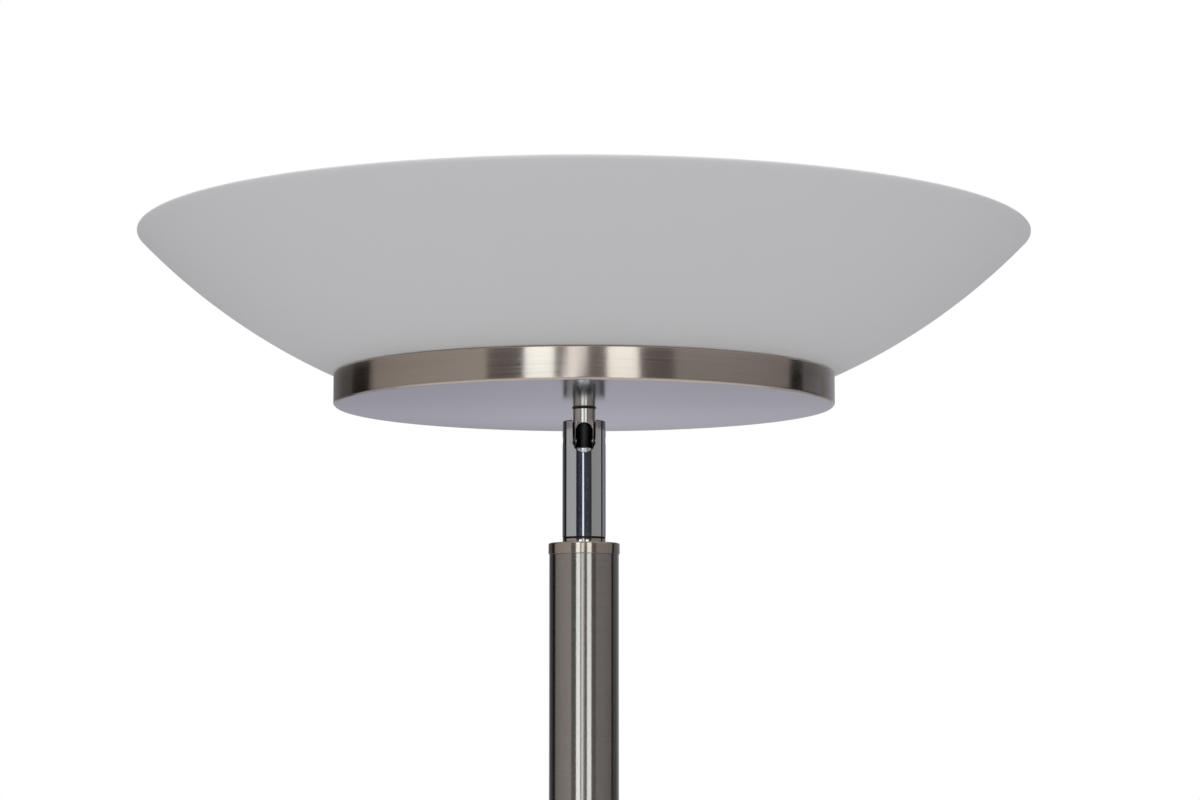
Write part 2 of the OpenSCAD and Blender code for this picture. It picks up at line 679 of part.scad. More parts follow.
module base_cover() color(nickel) difference() {
    rotate_extrude($fn = 180) translate([0, skirt_z]) difference() {
        cap_section(base_r, base_h - skirt_z, cover_edge_r);
        translate([0, -over])
            cap_section(skirt_in_r, base_h - skirt_z - cover_t + over, cover_edge_r - cover_t);
    }
    translate([0, 0, base_h - cover_t - over]) {
        cylinder(r = insert_bore_r, h = cover_t + 2 * over);
        at_foot_screws() cylinder(d = m5[0] + hole_gap, h = cover_t + 2 * over);
    }
    translate([0, base_r - 2 * cover_t, gland_z]) rotate([-90, 0, 0])
        cylinder(r = gland_neck_r, h = 4 * cover_t);
}

module base_weight() color([0.2, 0.2, 0.21]) difference() {
    translate([0, 0, plate_top]) chamfered_rod(weight_r, weight_top - plate_top, weight_edge);
    translate([0, 0, plate_top - over]) {
        cylinder(r = weight_hole_r, h = weight_top - plate_top + 2 * over);
        at_foot_screws() {
            cylinder(d = m5[0] + hole_gap, h = weight_top - plate_top + 2 * over);
            cylinder(d = m5[1] + 1, h = counterbore_l + over);
        }
        // channel for the lead, and a notch where the lead bends into it
        translate([-base_channel[0] / 2, 0, 0]) {
            cube([base_channel[0], weight_r + over, base_channel[1] + over]);
            cube([base_channel[0], base_notch_l, weight_top - plate_top + 2 * over]);
        }
        translate([-terminal[0] / 2 - pocket_gap, base_terminal_y - pocket_gap, 0])
            cube([terminal[0] + 2 * pocket_gap, terminal[1] + 2 * pocket_gap, terminal[2] + over]);
        at_plate_screws() cylinder(d = m4[0], h = plate_thread_l + over);
    }
}
module at_plate_screws() for (a = pillar_angles) rotate([0, 0, a])
    translate([plate_screw_r, 0, 0]) children();

module base_plate() color(zinc) difference() {
    translate([0, 0, pad_h]) cylinder(r = skirt_in_r - plate_gap, h = plate_t);
    at_plate_screws() translate([0, 0, pad_h - over]) cylinder(d = m4[0] + hole_gap, h = plate_t + 2 * over);
}
module plate_screws() color(zinc) at_plate_screws() translate([0, 0, pad_h]) mirror([0, 0, 1])
    screw([m4[0], m4[1], skirt_z], plate_t + plate_screw_in);

module foot_pads() color(black) for (k = [0 : pad_count - 1]) rotate([0, 0, 360 * (k + 0.5) / pad_count])
    translate([pad_ring_r, 0, 0]) cylinder(r1 = pad_r - 0.6, r2 = pad_r, h = pad_h);

module cord_gland() color(black) translate([0, 0, gland_z]) rotate([-90, 0, 0]) difference() {
    union() {
        translate([0, 0, base_r]) cylinder(r1 = gland_flange_r, r2 = gland_flange_r - 1, h = gland_flange_t);
        translate([0, 0, gland_in_y]) cylinder(r = gland_neck_r, h = base_r - gland_in_y + over);
        translate([0, 0, gland_in_y - gland_flange_t]) cylinder(r = gland_flange_r, h = gland_flange_t);
        translate([0, 0, gland_in_y - gland_flange_t - gland_sleeve_l])
            cylinder(r = gland_sleeve_r, h = gland_sleeve_l + over);
    }
    cylinder(d = cord_hole_d, h = base_r * 2);
}

module base_terminal() color([0.9, 0.88, 0.8])
    translate([0, base_terminal_y, plate_top + terminal[2]]) connector_block(terminal);

module stand_lead() color(black) lead(concat(
    [[0, 0, pivot_z + bore_floor]],
    quarter_bend([0, base_bend_r, base_lead_z + base_bend_r], base_bend_r, 180, 270),
    [[0, base_terminal_y, base_lead_z]]), lead_d);

glass_bowl();
lower_gasket();
upper_gasket();
pan();
carrier_pillars();
led_carrier();
carrier_screws();
led_board();
led_chips();
board_screws();
diffuser();
driver_case();
driver_screws();
head_terminal();
driver_wires();
led_wires();
stem();
stem_washer();
stem_lock_washer();
stem_nut();
stem_bushing();
head_lead();
joint_sleeve();
pivot_screws();
sleeve_nipple();
sleeve_washer();
cap_washer();
sleeve_nut();
pole_cap();
pole_top();
pole_middle();
pole_bottom();
socket_inserts();
stud_inserts();
pole_foot();
foot_screws();
base_cover();
base_weight();
base_plate();
plate_screws();
foot_pads();
cord_gland();
base_terminal();
stand_lead();
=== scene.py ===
# %% [markdown]
# # A torchiere floor lamp
# A torchiere is a tall lamp that throws its light up at the ceiling. This one has a shallow
# opal glass bowl in a flat metal pan. The pan tilts forward on a slotted joint at the top of a
# slim pole, and a heavy round base keeps it standing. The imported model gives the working
# pieces, and this script gives them their finish. Turned pieces that show are made again
# here with finer curves, because a mirror finish shows every flat facet.

# %% Load the frame
import json
import math

import bmesh
import bpy
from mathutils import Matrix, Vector


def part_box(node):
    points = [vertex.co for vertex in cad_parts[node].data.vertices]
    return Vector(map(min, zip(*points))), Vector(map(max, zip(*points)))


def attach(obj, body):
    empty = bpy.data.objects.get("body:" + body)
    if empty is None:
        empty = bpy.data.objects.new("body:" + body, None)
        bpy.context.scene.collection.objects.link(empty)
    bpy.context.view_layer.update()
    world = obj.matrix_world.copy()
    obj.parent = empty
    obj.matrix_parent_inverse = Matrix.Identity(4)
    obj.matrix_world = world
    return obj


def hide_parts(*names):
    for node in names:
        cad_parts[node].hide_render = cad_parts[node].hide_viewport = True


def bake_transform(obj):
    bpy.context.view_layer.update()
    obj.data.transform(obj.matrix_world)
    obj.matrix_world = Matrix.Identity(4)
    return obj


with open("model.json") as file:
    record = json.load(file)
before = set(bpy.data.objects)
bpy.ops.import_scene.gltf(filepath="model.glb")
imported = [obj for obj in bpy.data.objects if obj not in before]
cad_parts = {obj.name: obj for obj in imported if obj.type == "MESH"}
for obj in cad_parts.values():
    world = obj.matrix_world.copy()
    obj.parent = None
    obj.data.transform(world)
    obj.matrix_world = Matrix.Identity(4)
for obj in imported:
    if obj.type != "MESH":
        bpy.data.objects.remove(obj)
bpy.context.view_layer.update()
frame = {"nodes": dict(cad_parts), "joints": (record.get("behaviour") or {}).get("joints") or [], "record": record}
nodes = frame["nodes"]
for piece in nodes.values():
    piece.data.materials.clear()
for plain_colour in list(bpy.data.materials):
    bpy.data.materials.remove(plain_colour)
print("pieces in the frame:", len(nodes))

# %% [markdown]
# Everything is in metres, and sizes of a lamp are easier to read in millimetres. So lengths
# are written as numbers of millimetres times `MM`. The pan's underside and the tilt axis are
# the two heights that most pieces hang on, and both come from the frame.

# %% Heights that the pieces share
MM = 0.001
PAN_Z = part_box("pan")[0].z
PIVOT_Z = frame["joints"][0]["pos_m"][2]
CAP_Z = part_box("pole_top")[1].z
LAMP_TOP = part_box("glass_bowl")[1].z
print(f"pan {PAN_Z:.4f}, pivot {PIVOT_Z:.4f}, top of the pole {CAP_Z:.4f}, rim {LAMP_TOP:.4f}")

# %% [markdown]
# ## Camera
# The lamp is seen from a step away, a little below the pan, with a lens of 84 mm on a 36 mm
# wide sensor. The camera looks up by about six degrees, so the underside of the pan shows as a
# thin oval.

# %% Camera
CAMERA_BACK = 1287.4 * MM
CAMERA_SIDE = 7.3 * MM
CAMERA_BELOW_PAN = 133.7 * MM
CAMERA_PITCH = 6.09

camera_data = bpy.data.cameras.new("camera")
camera_data.lens = 84.0
camera_data.sensor_width = 36.0
camera_data.clip_start = 0.05
camera = bpy.data.objects.new("camera", camera_data)
camera.location = (CAMERA_SIDE, -CAMERA_BACK, PAN_Z - CAMERA_BELOW_PAN)
camera.rotation_euler = (math.radians(90 + CAMERA_PITCH), 0, 0)
bpy.context.scene.collection.objects.link(camera)
bpy.context.scene.camera = camera
bpy.context.scene.view_settings.view_transform = "Standard"
print("camera at", [round(v, 4) for v in camera.location])

# %% [markdown]
# ## Helpers for materials
# A colour is written as the hex value that a colour picker shows, which is sRGB. Shaders work
# in linear light, so one function turns a hex value into linear numbers, and another gives a
# darker and a lighter neighbour of a colour. A third small function adds a node, sets its
# settings, and either sets or links each input. With these a material reads as a short recipe.

# %% Colour and node helpers
def linear(hex_colour):
    """An sRGB hex value such as "#d4cdc0" as a linear colour with alpha 1."""
    channels = [int(hex_colour[i:i + 2], 16) / 255 for i in (1, 3, 5)]
    return [c / 12.92 if c <= 0.04045 else ((c + 0.055) / 1.055) ** 2.4 for c in channels] + [1.0]


def neighbours(hex_colour, spread):
    """The colour a share darker and the same share lighter, the two ends of a mottled tint."""
    red_green_blue = linear(hex_colour)[:3]
    darker = [c * (1 - spread) for c in red_green_blue] + [1.0]
    lighter = [min(1.0, c * (1 + spread)) for c in red_green_blue] + [1.0]
    return darker, lighter


def new_tree(owner):
    """Empties the node tree of a material or a world, so that a recipe starts clean."""
    owner.use_nodes = True
    owner.node_tree.nodes.clear()
    return owner.node_tree


def add(tree, kind, settings=None, inputs=None):
    """Adds a node. An input is given a value, or the output socket that feeds it."""
    node = tree.nodes.new(kind)
    for name, value in (settings or {}).items():
        setattr(node, name, value)
    for name, value in (inputs or {}).items():
        if isinstance(value, bpy.types.NodeSocket):
            tree.links.new(value, node.inputs[name])
        else:
            node.inputs[name].default_value = value
    return node


# %% [markdown]
# ## Satin nickel, brushed round the axis
# The pole, the caps and the wall of the pan are steel with a nickel plating. They were spun
# against an abrasive belt, so fine scratches run round the axis, and a thin lacquer covers
# them. Nickel is a slightly yellow metal. Such scratches blur a reflection along the axis and
# leave it sharp around the axis, so lamps and walls show as upright bands with crisp sides.
# That is what the anisotropic setting does, with a tangent that turns round Z. The scratches
# are about 0.05 mm apart on the real piece. They are drawn 0.5 mm apart here, because finer
# ones wouldn't show. The pan and the caps have the plain colour. The pole's tubes have a copy
# of it that is a shade darker and cooler: painted shade. The stem's copy is brighter, a painted
# highlight, and rougher, so its highlight is broad. The base is brushed in circles like a record.

# %% Satin nickel
SCRATCH_PITCH = 0.5 * MM
SCRATCH_LENGTH = 60 * MM
SCRATCH_DEPTH = 0.02 * MM
BRUSH_WEAR = 0.03


def brushed_metal(name, colour, roughness, anisotropy, streaks):
    """Metal with scratches that run round the Z axis."""
    material = bpy.data.materials.new(name)
    tree = new_tree(material)
    place = add(tree, "ShaderNodeTexCoord")
    stretched = add(tree, "ShaderNodeMapping", None, {
        "Vector": place.outputs["Object"],
        "Scale": (1 / SCRATCH_LENGTH, 1 / SCRATCH_LENGTH, 1 / SCRATCH_PITCH),
    })
    scratches = add(tree, "ShaderNodeTexNoise", None, {
        "Vector": stretched.outputs["Vector"], "Scale": 1.0, "Detail": 3.0, "Roughness": 0.6,
    })
    darker, lighter = neighbours(colour, streaks)
    tint = add(tree, "ShaderNodeMix", {"data_type": "RGBA"}, {
        "Factor": scratches.outputs["Fac"], "A": darker, "B": lighter,
    })
    worn = add(tree, "ShaderNodeMapRange", None, {
        "Value": scratches.outputs["Fac"], "From Min": 0.3, "From Max": 0.7,
        "To Min": roughness - BRUSH_WEAR, "To Max": roughness + BRUSH_WEAR,
    })
    relief = add(tree, "ShaderNodeBump", None, {
        "Height": scratches.outputs["Fac"], "Strength": 0.12, "Distance": SCRATCH_DEPTH,
    })
    round_z = add(tree, "ShaderNodeTangent", {"direction_type": "RADIAL", "axis": "Z"})
    shader = add(tree, "ShaderNodeBsdfPrincipled", None, {
        "Base Color": tint.outputs["Result"], "Metallic": 1.0,
        "Roughness": worn.outputs["Result"], "Anisotropic": anisotropy,
        "Anisotropic Rotation": 0.25, "Tangent": round_z.outputs["Tangent"],
        "Normal": relief.outputs["Normal"],
    })
    add(tree, "ShaderNodeOutputMaterial", None, {"Surface": shader.outputs["BSDF"]})
    return material


satin_nickel = brushed_metal("satin_nickel", "#d6c8bc", 0.21, 1.0, 0.10)
# The pole's tubes take a darker, cooler copy of the nickel: painted shade.
tube_nickel_painted_shade = brushed_metal("tube_nickel_painted_shade", "#c1bab3", 0.21, 1.0, 0.06)
# The stem takes a brighter copy of the nickel: a painted highlight.
stem_nickel_painted_highlight = brushed_metal("stem_nickel_painted_highlight", "#f2eae2", 0.30, 0.8, 0.08)
base_nickel = brushed_metal("base_nickel", "#d6c8bc", 0.23, 1.0, 0.10)
print("materials:", satin_nickel.name, tube_nickel_painted_shade.name, stem_nickel_painted_highlight.name, base_nickel.name)

# %% [markdown]
# ## Satin disc
# The flat underside of the pan has the same plating, but it was turned on a lathe and then
# bead blasted, so it has no direction. It blurs what it mirrors evenly, and looks a little
# cooler than the brushed wall. Blasting leaves pits about 0.1 mm wide. They are drawn 0.8 mm
# wide and very shallow.

# %% Satin disc
PIT_WIDTH = 0.8 * MM
PIT_DEPTH = 0.02 * MM
satin_disc = bpy.data.materials.new("satin_disc")
tree = new_tree(satin_disc)
place = add(tree, "ShaderNodeTexCoord")
pits = add(tree, "ShaderNodeTexNoise", None, {
    "Vector": place.outputs["Object"], "Scale": 1 / PIT_WIDTH, "Detail": 2.0,
})
relief = add(tree, "ShaderNodeBump", None, {
    "Height": pits.outputs["Fac"], "Strength": 0.05, "Distance": PIT_DEPTH,
})
shader = add(tree, "ShaderNodeBsdfPrincipled", None, {
    "Base Color": linear("#cfcdd2"), "Metallic": 1.0, "Roughness": 0.16,
    "Normal": relief.outputs["Normal"],
})
add(tree, "ShaderNodeOutputMaterial", None, {"Surface": shader.outputs["BSDF"]})
print("material:", satin_disc.name)

# %% [markdown]
# ## Polished chrome and polished nickel
# The slotted sleeve is brass with bright chrome on it, polished like a mirror. Chrome is almost
# neutral and slightly blue. It keeps a trace of the polishing mop, so its roughness is low but
# not zero and varies a little along the piece. The neck under the sleeve is polished the same
# way, but it is bare nickel, so it mirrors the room in a warmer tone. The core at the end of
# the slot was turned and plated without polishing, so it is only half sharp, and its colour is
# painted brighter than the sleeve's chrome: a painted highlight.
# The chamfers at its ends and below the slot have a dark brown colour, painted shade that draws a darker line.

# %% Polished chrome and polished nickel
MOP_MARK = 6 * MM


def polished_metal(name, colour, finest, coarsest):
    """Mirror-like metal whose gloss wanders between two values of roughness."""
    material = bpy.data.materials.new(name)
    tree = new_tree(material)
    place = add(tree, "ShaderNodeTexCoord")
    mop = add(tree, "ShaderNodeTexNoise", None, {
        "Vector": place.outputs["Object"], "Scale": 1 / MOP_MARK, "Detail": 2.0,
    })
    worn = add(tree, "ShaderNodeMapRange", None, {
        "Value": mop.outputs["Fac"], "To Min": finest, "To Max": coarsest,
    })
    shader = add(tree, "ShaderNodeBsdfPrincipled", None, {
        "Base Color": linear(colour), "Metallic": 1.0, "Roughness": worn.outputs["Result"],
    })
    add(tree, "ShaderNodeOutputMaterial", None, {"Surface": shader.outputs["BSDF"]})
    return material


polished_chrome = polished_metal("polished_chrome", "#e6e8ec", 0.04, 0.09)
polished_nickel = polished_metal("polished_nickel", "#cfc6bc", 0.05, 0.10)
# The core's chrome is painted brighter than the sleeve's: a painted highlight.
turned_chrome_painted_highlight = polished_metal("turned_chrome_painted_highlight", "#f4f7f6", 0.22, 0.26)
# The chamfers' dark brown is painted shade.
chamfer_painted_shade = polished_metal("chamfer_painted_shade", "#6c645d", 0.25, 0.32)
print("materials:", polished_chrome.name, polished_nickel.name, turned_chrome_painted_highlight.name, chamfer_painted_shade.name)

# %% [markdown]
# ## Opal glass
# Opal glass is white through and through: fine crystals in it scatter light, so no shape shows
# behind it and light spreads a few millimetres inside. The bowl was dipped in acid, which
# turned its skin from glossy to satin. So the shader has a white base, some subsurface
# scattering, the IOR of glass and a high roughness. The etch is finer than 0.05 mm. A faint
# unevenness 2 mm wide stands for it.

# %% Opal glass
ETCH_WIDTH = 2 * MM
ETCH_DEPTH = 0.02 * MM
SCATTER_LENGTH = 2 * MM
opal_glass = bpy.data.materials.new("opal_glass")
tree = new_tree(opal_glass)
place = add(tree, "ShaderNodeTexCoord")
etch = add(tree, "ShaderNodeTexNoise", None, {
    "Vector": place.outputs["Object"], "Scale": 1 / ETCH_WIDTH, "Detail": 2.0,
})
relief = add(tree, "ShaderNodeBump", None, {
    "Height": etch.outputs["Fac"], "Strength": 0.03, "Distance": ETCH_DEPTH,
})
satin = add(tree, "ShaderNodeMapRange", None, {
    "Value": etch.outputs["Fac"], "To Min": 0.46, "To Max": 0.54,
})
shader = add(tree, "ShaderNodeBsdfPrincipled", None, {
    "Base Color": linear("#e8e8e9"), "Roughness": satin.outputs["Result"], "IOR": 1.5,
    "Subsurface Weight": 0.3, "Subsurface Radius": (1.0, 1.0, 1.0),
    "Subsurface Scale": SCATTER_LENGTH,
    "Normal": relief.outputs["Normal"],
})
add(tree, "ShaderNodeOutputMaterial", None, {"Surface": shader.outputs["BSDF"]})
print("material:", opal_glass.name)

# %% [markdown]
# ## Small and hidden finishes
# The rest is plated steel, enamel, moulded plastic, rubber and cast iron. Each differs in its
# colour, in whether it is a metal, in how rough it is, and in the size and depth of its grain.
# One recipe takes these, and the comment on each line says what the finish gives the eye. The
# deeper the grain, the more it also changes the tint.

# %% Plain finishes
GRAIN_DEPTH = 0.1 * MM
GLOSS_SWING = 0.05
LEAST_MOTTLE = 0.02
MOTTLE_BY_RELIEF = 0.2


def grained(name, hex_colour, metallic, roughness, grain, relief_strength, ior=1.5):
    """A finish whose grain shows as a slight change of tint, gloss and height."""
    material = bpy.data.materials.new(name)
    tree = new_tree(material)
    place = add(tree, "ShaderNodeTexCoord")
    noise = add(tree, "ShaderNodeTexNoise", None, {
        "Vector": place.outputs["Object"], "Scale": 1 / grain, "Detail": 3.0,
    })
    darker, lighter = neighbours(hex_colour, LEAST_MOTTLE + MOTTLE_BY_RELIEF * relief_strength)
    tint = add(tree, "ShaderNodeMix", {"data_type": "RGBA"}, {
        "Factor": noise.outputs["Fac"], "A": darker, "B": lighter,
    })
    gloss = add(tree, "ShaderNodeMapRange", None, {
        "Value": noise.outputs["Fac"],
        "To Min": roughness - GLOSS_SWING, "To Max": roughness + GLOSS_SWING,
    })
    relief = add(tree, "ShaderNodeBump", None, {
        "Height": noise.outputs["Fac"], "Strength": relief_strength, "Distance": GRAIN_DEPTH,
    })
    shader = add(tree, "ShaderNodeBsdfPrincipled", None, {
        "Base Color": tint.outputs["Result"], "Metallic": metallic,
        "Roughness": gloss.outputs["Result"], "Normal": relief.outputs["Normal"],
    })
    if metallic == 0:
        shader.inputs["IOR"].default_value = ior
    add(tree, "ShaderNodeOutputMaterial", None, {"Surface": shader.outputs["BSDF"]})
    return material


zinc_steel = grained("zinc_steel", "#c6cbd0", 1, 0.32, 1.5 * MM, 0.1)      # cool, cloudy metal
white_enamel = grained("white_enamel", "#efeeec", 0, 0.32, 4 * MM, 0.015)  # baked, orange peel
opal_acrylic = grained("opal_acrylic", "#f2f2ef", 0, 0.45, 1 * MM, 0.01)   # satin moulded cap
white_board = grained("white_board", "#f0f0eb", 0, 0.4, 0.6 * MM, 0.05)    # solder mask
phosphor = grained("phosphor", "#e9d060", 0, 0.35, 0.5 * MM, 0.05)         # yellow gel
pale_plastic = grained("pale_plastic", "#e2e1da", 0, 0.5, 0.6 * MM, 0.15)  # moulded, fine texture
silicone = grained("silicone", "#d8d8d2", 0, 0.55, 2 * MM, 0.05, 1.41)     # milky and soft
black_rubber = grained("black_rubber", "#1c1c1c", 0, 0.7, 0.8 * MM, 0.2)   # matt
black_nylon = grained("black_nylon", "#1b1b1d", 0, 0.42, 0.5 * MM, 0.15)   # moulded, slight sheen
black_pvc = grained("black_pvc", "#121214", 0, 0.38, 1 * MM, 0.08)         # smooth extruded jacket
blue_pvc = grained("blue_pvc", "#2b4694", 0, 0.4, 1 * MM, 0.05)            # soft, slightly waxy
red_pvc = grained("red_pvc", "#9c2018", 0, 0.4, 1 * MM, 0.05)              # the same, in red
cast_iron = grained("cast_iron", "#39393b", 0, 0.65, 1.2 * MM, 0.5)        # dipped over sand grain
mill_scale = grained("mill_scale", "#151413", 0, 0.7, 0.8 * MM, 0.2)       # dark oxide in the bore
print("plain finishes made, the last one:", mill_scale.name)

# %% [markdown]
# The pieces of the frame that keep their shape get their finish here. The frame's record names
# a finish for every piece, and the materials above have the same names, so a loop can hand
# them out. Pieces that are made again further down get theirs there.

# %% Finish the pieces of the frame
finishes = {m.name: m for m in (
    satin_nickel, satin_disc, polished_chrome, opal_glass, zinc_steel, white_enamel, opal_acrylic,
    white_board, phosphor, pale_plastic, silicone, black_rubber, black_nylon, black_pvc,
    blue_pvc, red_pvc, cast_iron,
)}
finish_of = {part["node"]: finishes[part["material_slot"]] for part in frame["record"]["subparts"]}
for node_name, piece in nodes.items():
    piece.data.materials.append(finish_of[node_name])
    piece.data.shade_smooth()
    piece.data.set_sharp_from_angle(angle=math.radians(30))
print("finishes handed out:", len(finish_of))

# %% [markdown]
# ## Turned pieces
# Most of the lamp was made on a lathe or pressed and spun, so it is the same all the way round
# its axis. Such a piece is half of its section, turned about Z. The outline is a list of
# corners, and `arc` gives the points of a rounded one. `turned_mesh` sweeps the closed outline
# round the axis in many steps and joins the last to the first. With 288 steps the pan departs
# from a true circle by 0.007 mm, which a mirror finish doesn't show. `make_piece` shades a mesh
# smooth but for edges sharper than 25 degrees, and lets it stand for a piece of the frame.

# %% Turning
def arc(centre_r, centre_h, radius, start, end, steps=8):
    """Points of an arc in the half section, from one angle to another, in degrees."""
    turns = [math.radians(start + (end - start) * k / steps) for k in range(steps + 1)]
    return [(centre_r + radius * math.cos(t), centre_h + radius * math.sin(t)) for t in turns]


def closed_mesh(name, maker):
    """Points all faces of a closed shape outwards and makes it a mesh."""
    bmesh.ops.recalc_face_normals(maker, faces=maker.faces)
    mesh = bpy.data.meshes.new(name)
    maker.to_mesh(mesh)
    maker.free()
    return mesh


def turned_mesh(name, outline, base_z, steps=256, centre=(0.0, 0.0)):
    """A closed outline of (radius, height) in millimetres, turned about an upright axis."""
    centre_x, centre_y = centre
    maker = bmesh.new()
    rings = []
    for radius, height in outline:
        z = base_z + height * MM
        if radius < 1e-6:
            rings.append([maker.verts.new((centre_x, centre_y, z))])
            continue
        angles = [2 * math.pi * k / steps for k in range(steps)]
        rings.append([
            maker.verts.new((centre_x + radius * MM * math.sin(a),
                             centre_y - radius * MM * math.cos(a), z))
            for a in angles
        ])
    for i, ring in enumerate(rings):
        following = rings[(i + 1) % len(rings)]
        if len(ring) == 1 and len(following) == 1:
            continue
        for k in range(steps):
            corners = [ring[k % len(ring)], ring[(k + 1) % len(ring)],
                       following[(k + 1) % len(following)], following[k % len(following)]]
            maker.faces.new(list(dict.fromkeys(corners)))
    return closed_mesh(name, maker)


CRISP_FROM = math.radians(25)


def make_piece(name, mesh, finish, body, *replaced):
    """Adds a mesh as a piece that rides on a body and stands for the frame's own nodes."""
    piece = bpy.data.objects.new(name, mesh)
    bpy.context.scene.collection.objects.link(piece)
    mesh.materials.append(finish)
    mesh.shade_smooth()
    mesh.set_sharp_from_angle(angle=CRISP_FROM)
    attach(piece, body)
    if replaced:
        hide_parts(*replaced)
    print(f"{name}: {len(mesh.polygons)} faces")
    return piece


# %% [markdown]
# ## The glass bowl
# The bowl was blown into a mould as part of a sphere 575 mm across. Its floor was then
# flattened, and a hole was cut for the light unit. The rim is ground flat and its outer edge
# eased with a radius of about a millimetre. The outline runs up the outside, over the rim, down
# the inside and across the floor.

# %% Glass bowl
SPHERE_R = 287.5
GLASS_T = 4.0
FLOOR_R = 82.5
HOLE_R = 55.0
RIM_EASE = 1.2
EDGE_EASE = 0.4
INNER_RIM_DROP = 0.9
bowl_top = (LAMP_TOP - PAN_Z) / MM
glass_under = (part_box("glass_bowl")[0].z - PAN_Z) / MM
sphere_h = glass_under + math.sqrt(SPHERE_R ** 2 - FLOOR_R ** 2)


def sphere_angle(radius, height):
    """The angle of the point of a sphere at that height, as `arc` counts it."""
    return math.degrees(math.asin((height - sphere_h) / radius))


rim_centre_h = bowl_top - RIM_EASE
rim_centre_r = math.sqrt((SPHERE_R - RIM_EASE) ** 2 - (rim_centre_h - sphere_h) ** 2)
rim_tangent = math.degrees(math.atan2(rim_centre_h - sphere_h, rim_centre_r))
inside_r = SPHERE_R - GLASS_T
inside_rim_r = math.sqrt(inside_r ** 2 - (bowl_top - sphere_h) ** 2)
bowl_outline = (
    arc(HOLE_R + EDGE_EASE, glass_under + EDGE_EASE, EDGE_EASE, 180, 270, 4)
    + arc(0, sphere_h, SPHERE_R, sphere_angle(SPHERE_R, glass_under), rim_tangent, 72)
    + arc(rim_centre_r, rim_centre_h, RIM_EASE, rim_tangent, 90, 10)[1:]
    + arc(inside_rim_r + EDGE_EASE, bowl_top - EDGE_EASE, EDGE_EASE, 90, 180, 4)
    + arc(0, sphere_h, inside_r, sphere_angle(inside_r, bowl_top - INNER_RIM_DROP),
          sphere_angle(inside_r, glass_under + GLASS_T), 64)
    + arc(HOLE_R + EDGE_EASE, glass_under + GLASS_T - EDGE_EASE, EDGE_EASE, 90, 180, 4)
)
bowl_mesh = turned_mesh("glass_bowl_turned", bowl_outline, PAN_Z, 288)
make_piece("glass_bowl_turned", bowl_mesh, opal_glass, "head", "glass_bowl")

# %% [markdown]
# ## The pan
# The pan was spun from steel sheet 1 mm thick: a flat disc with a low upright wall. Its lower
# edge has a radius of 1.5 mm, which catches a thin line of light, and the top of the wall is
# rounded. The wall is brushed round and the underside is satin, so the mesh carries two
# finishes, and the change comes where the edge's radius meets the flat.

# %% Pan
PAN_T = 1.0
PAN_EDGE = 1.5
CORNER_FILL = 0.2
FLAT_WITHIN = 0.02
STEM_HOLE_R = 4.1
pan_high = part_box("pan")[1]
pan_r = pan_high.x / MM
pan_h = (pan_high.z - PAN_Z) / MM
inner_edge = PAN_EDGE - PAN_T + CORNER_FILL
pan_outline = (
    [(STEM_HOLE_R, 0)]
    + arc(pan_r - PAN_EDGE, PAN_EDGE, PAN_EDGE, -90, 0, 10)
    + arc(pan_r - PAN_T / 2, pan_h - PAN_T / 2, PAN_T / 2, 0, 180, 12)
    + arc(pan_r - PAN_T - inner_edge, PAN_T + inner_edge, inner_edge, 0, -90, 6)
    + [(STEM_HOLE_R, PAN_T)]
)
pan_mesh = turned_mesh("pan_spun", pan_outline, PAN_Z, 288)
make_piece("pan_spun", pan_mesh, satin_nickel, "head", "pan")
pan_mesh.materials.append(satin_disc)
flat_below = PAN_Z + FLAT_WITHIN * MM
for face in pan_mesh.polygons:
    if face.center.z < flat_below:
        face.material_index = 1

# %% [markdown]
# ## The opal cap over the lights
# Seen from above, the bowl holds a white pressed carrier with an opal cap over its lights. The
# cap is moulded acrylic 2 mm thick with a soft shoulder. It is turned like the bowl, hollow
# underneath, and its lower edge is eased where it snaps over the carrier.

# %% Opal cap
CAP_T = 2.0
CAP_SHOULDER = 6.0
CAP_LIP_EASE = 0.4
diffuser_low, diffuser_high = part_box("diffuser")
diffuser_r = diffuser_high.x / MM
diffuser_h = (diffuser_high.z - diffuser_low.z) / MM
diffuser_outline = (
    [(0, diffuser_h)]
    + arc(diffuser_r - CAP_SHOULDER, diffuser_h - CAP_SHOULDER, CAP_SHOULDER, 90, 0, 12)
    + [(diffuser_r, CAP_LIP_EASE), (diffuser_r - CAP_LIP_EASE, 0)]
    + [(diffuser_r - CAP_T + CAP_LIP_EASE, 0), (diffuser_r - CAP_T, CAP_LIP_EASE)]
    + arc(diffuser_r - CAP_SHOULDER, diffuser_h - CAP_SHOULDER, CAP_SHOULDER - CAP_T, 0, 90, 8)
    + [(0, diffuser_h - CAP_T)]
)
diffuser_mesh = turned_mesh("opal_cap_moulded", diffuser_outline, diffuser_low.z, 192)
make_piece("opal_cap_moulded", diffuser_mesh, opal_acrylic, "head", "diffuser")

# %% [markdown]
# ## Cutting with other shapes
# The stem and the sleeve of the tilt joint start as turned rods too, but a milling cutter and a
# drill then took material away. The Boolean modifier does the same: it subtracts one closed
# mesh from another. `extruded` makes the cutters from an outline, and `carved` applies
# a list of them and returns the finished mesh, so that no modifier stays on the piece.

# %% Cutters
def extruded(outline, along, low, high, base_z):
    """An outline of (across, height) in millimetres, pushed along X or Y from low to high."""
    maker = bmesh.new()
    ends = []
    for depth in (low, high):
        ring = []
        for across, height in outline:
            flat = (depth, across) if along == "x" else (across, depth)
            ring.append(maker.verts.new((flat[0] * MM, flat[1] * MM, base_z + height * MM)))
        ends.append(ring)
        maker.faces.new(ring)
    for k in range(len(outline)):
        following = (k + 1) % len(outline)
        maker.faces.new([ends[0][k], ends[0][following], ends[1][following], ends[1][k]])
    return closed_mesh("cutter", maker)


def circle(centre_across, centre_h, radius, steps=48):
    """Points all the way round a circle."""
    return arc(centre_across, centre_h, radius, 0, 360, steps)[:-1]


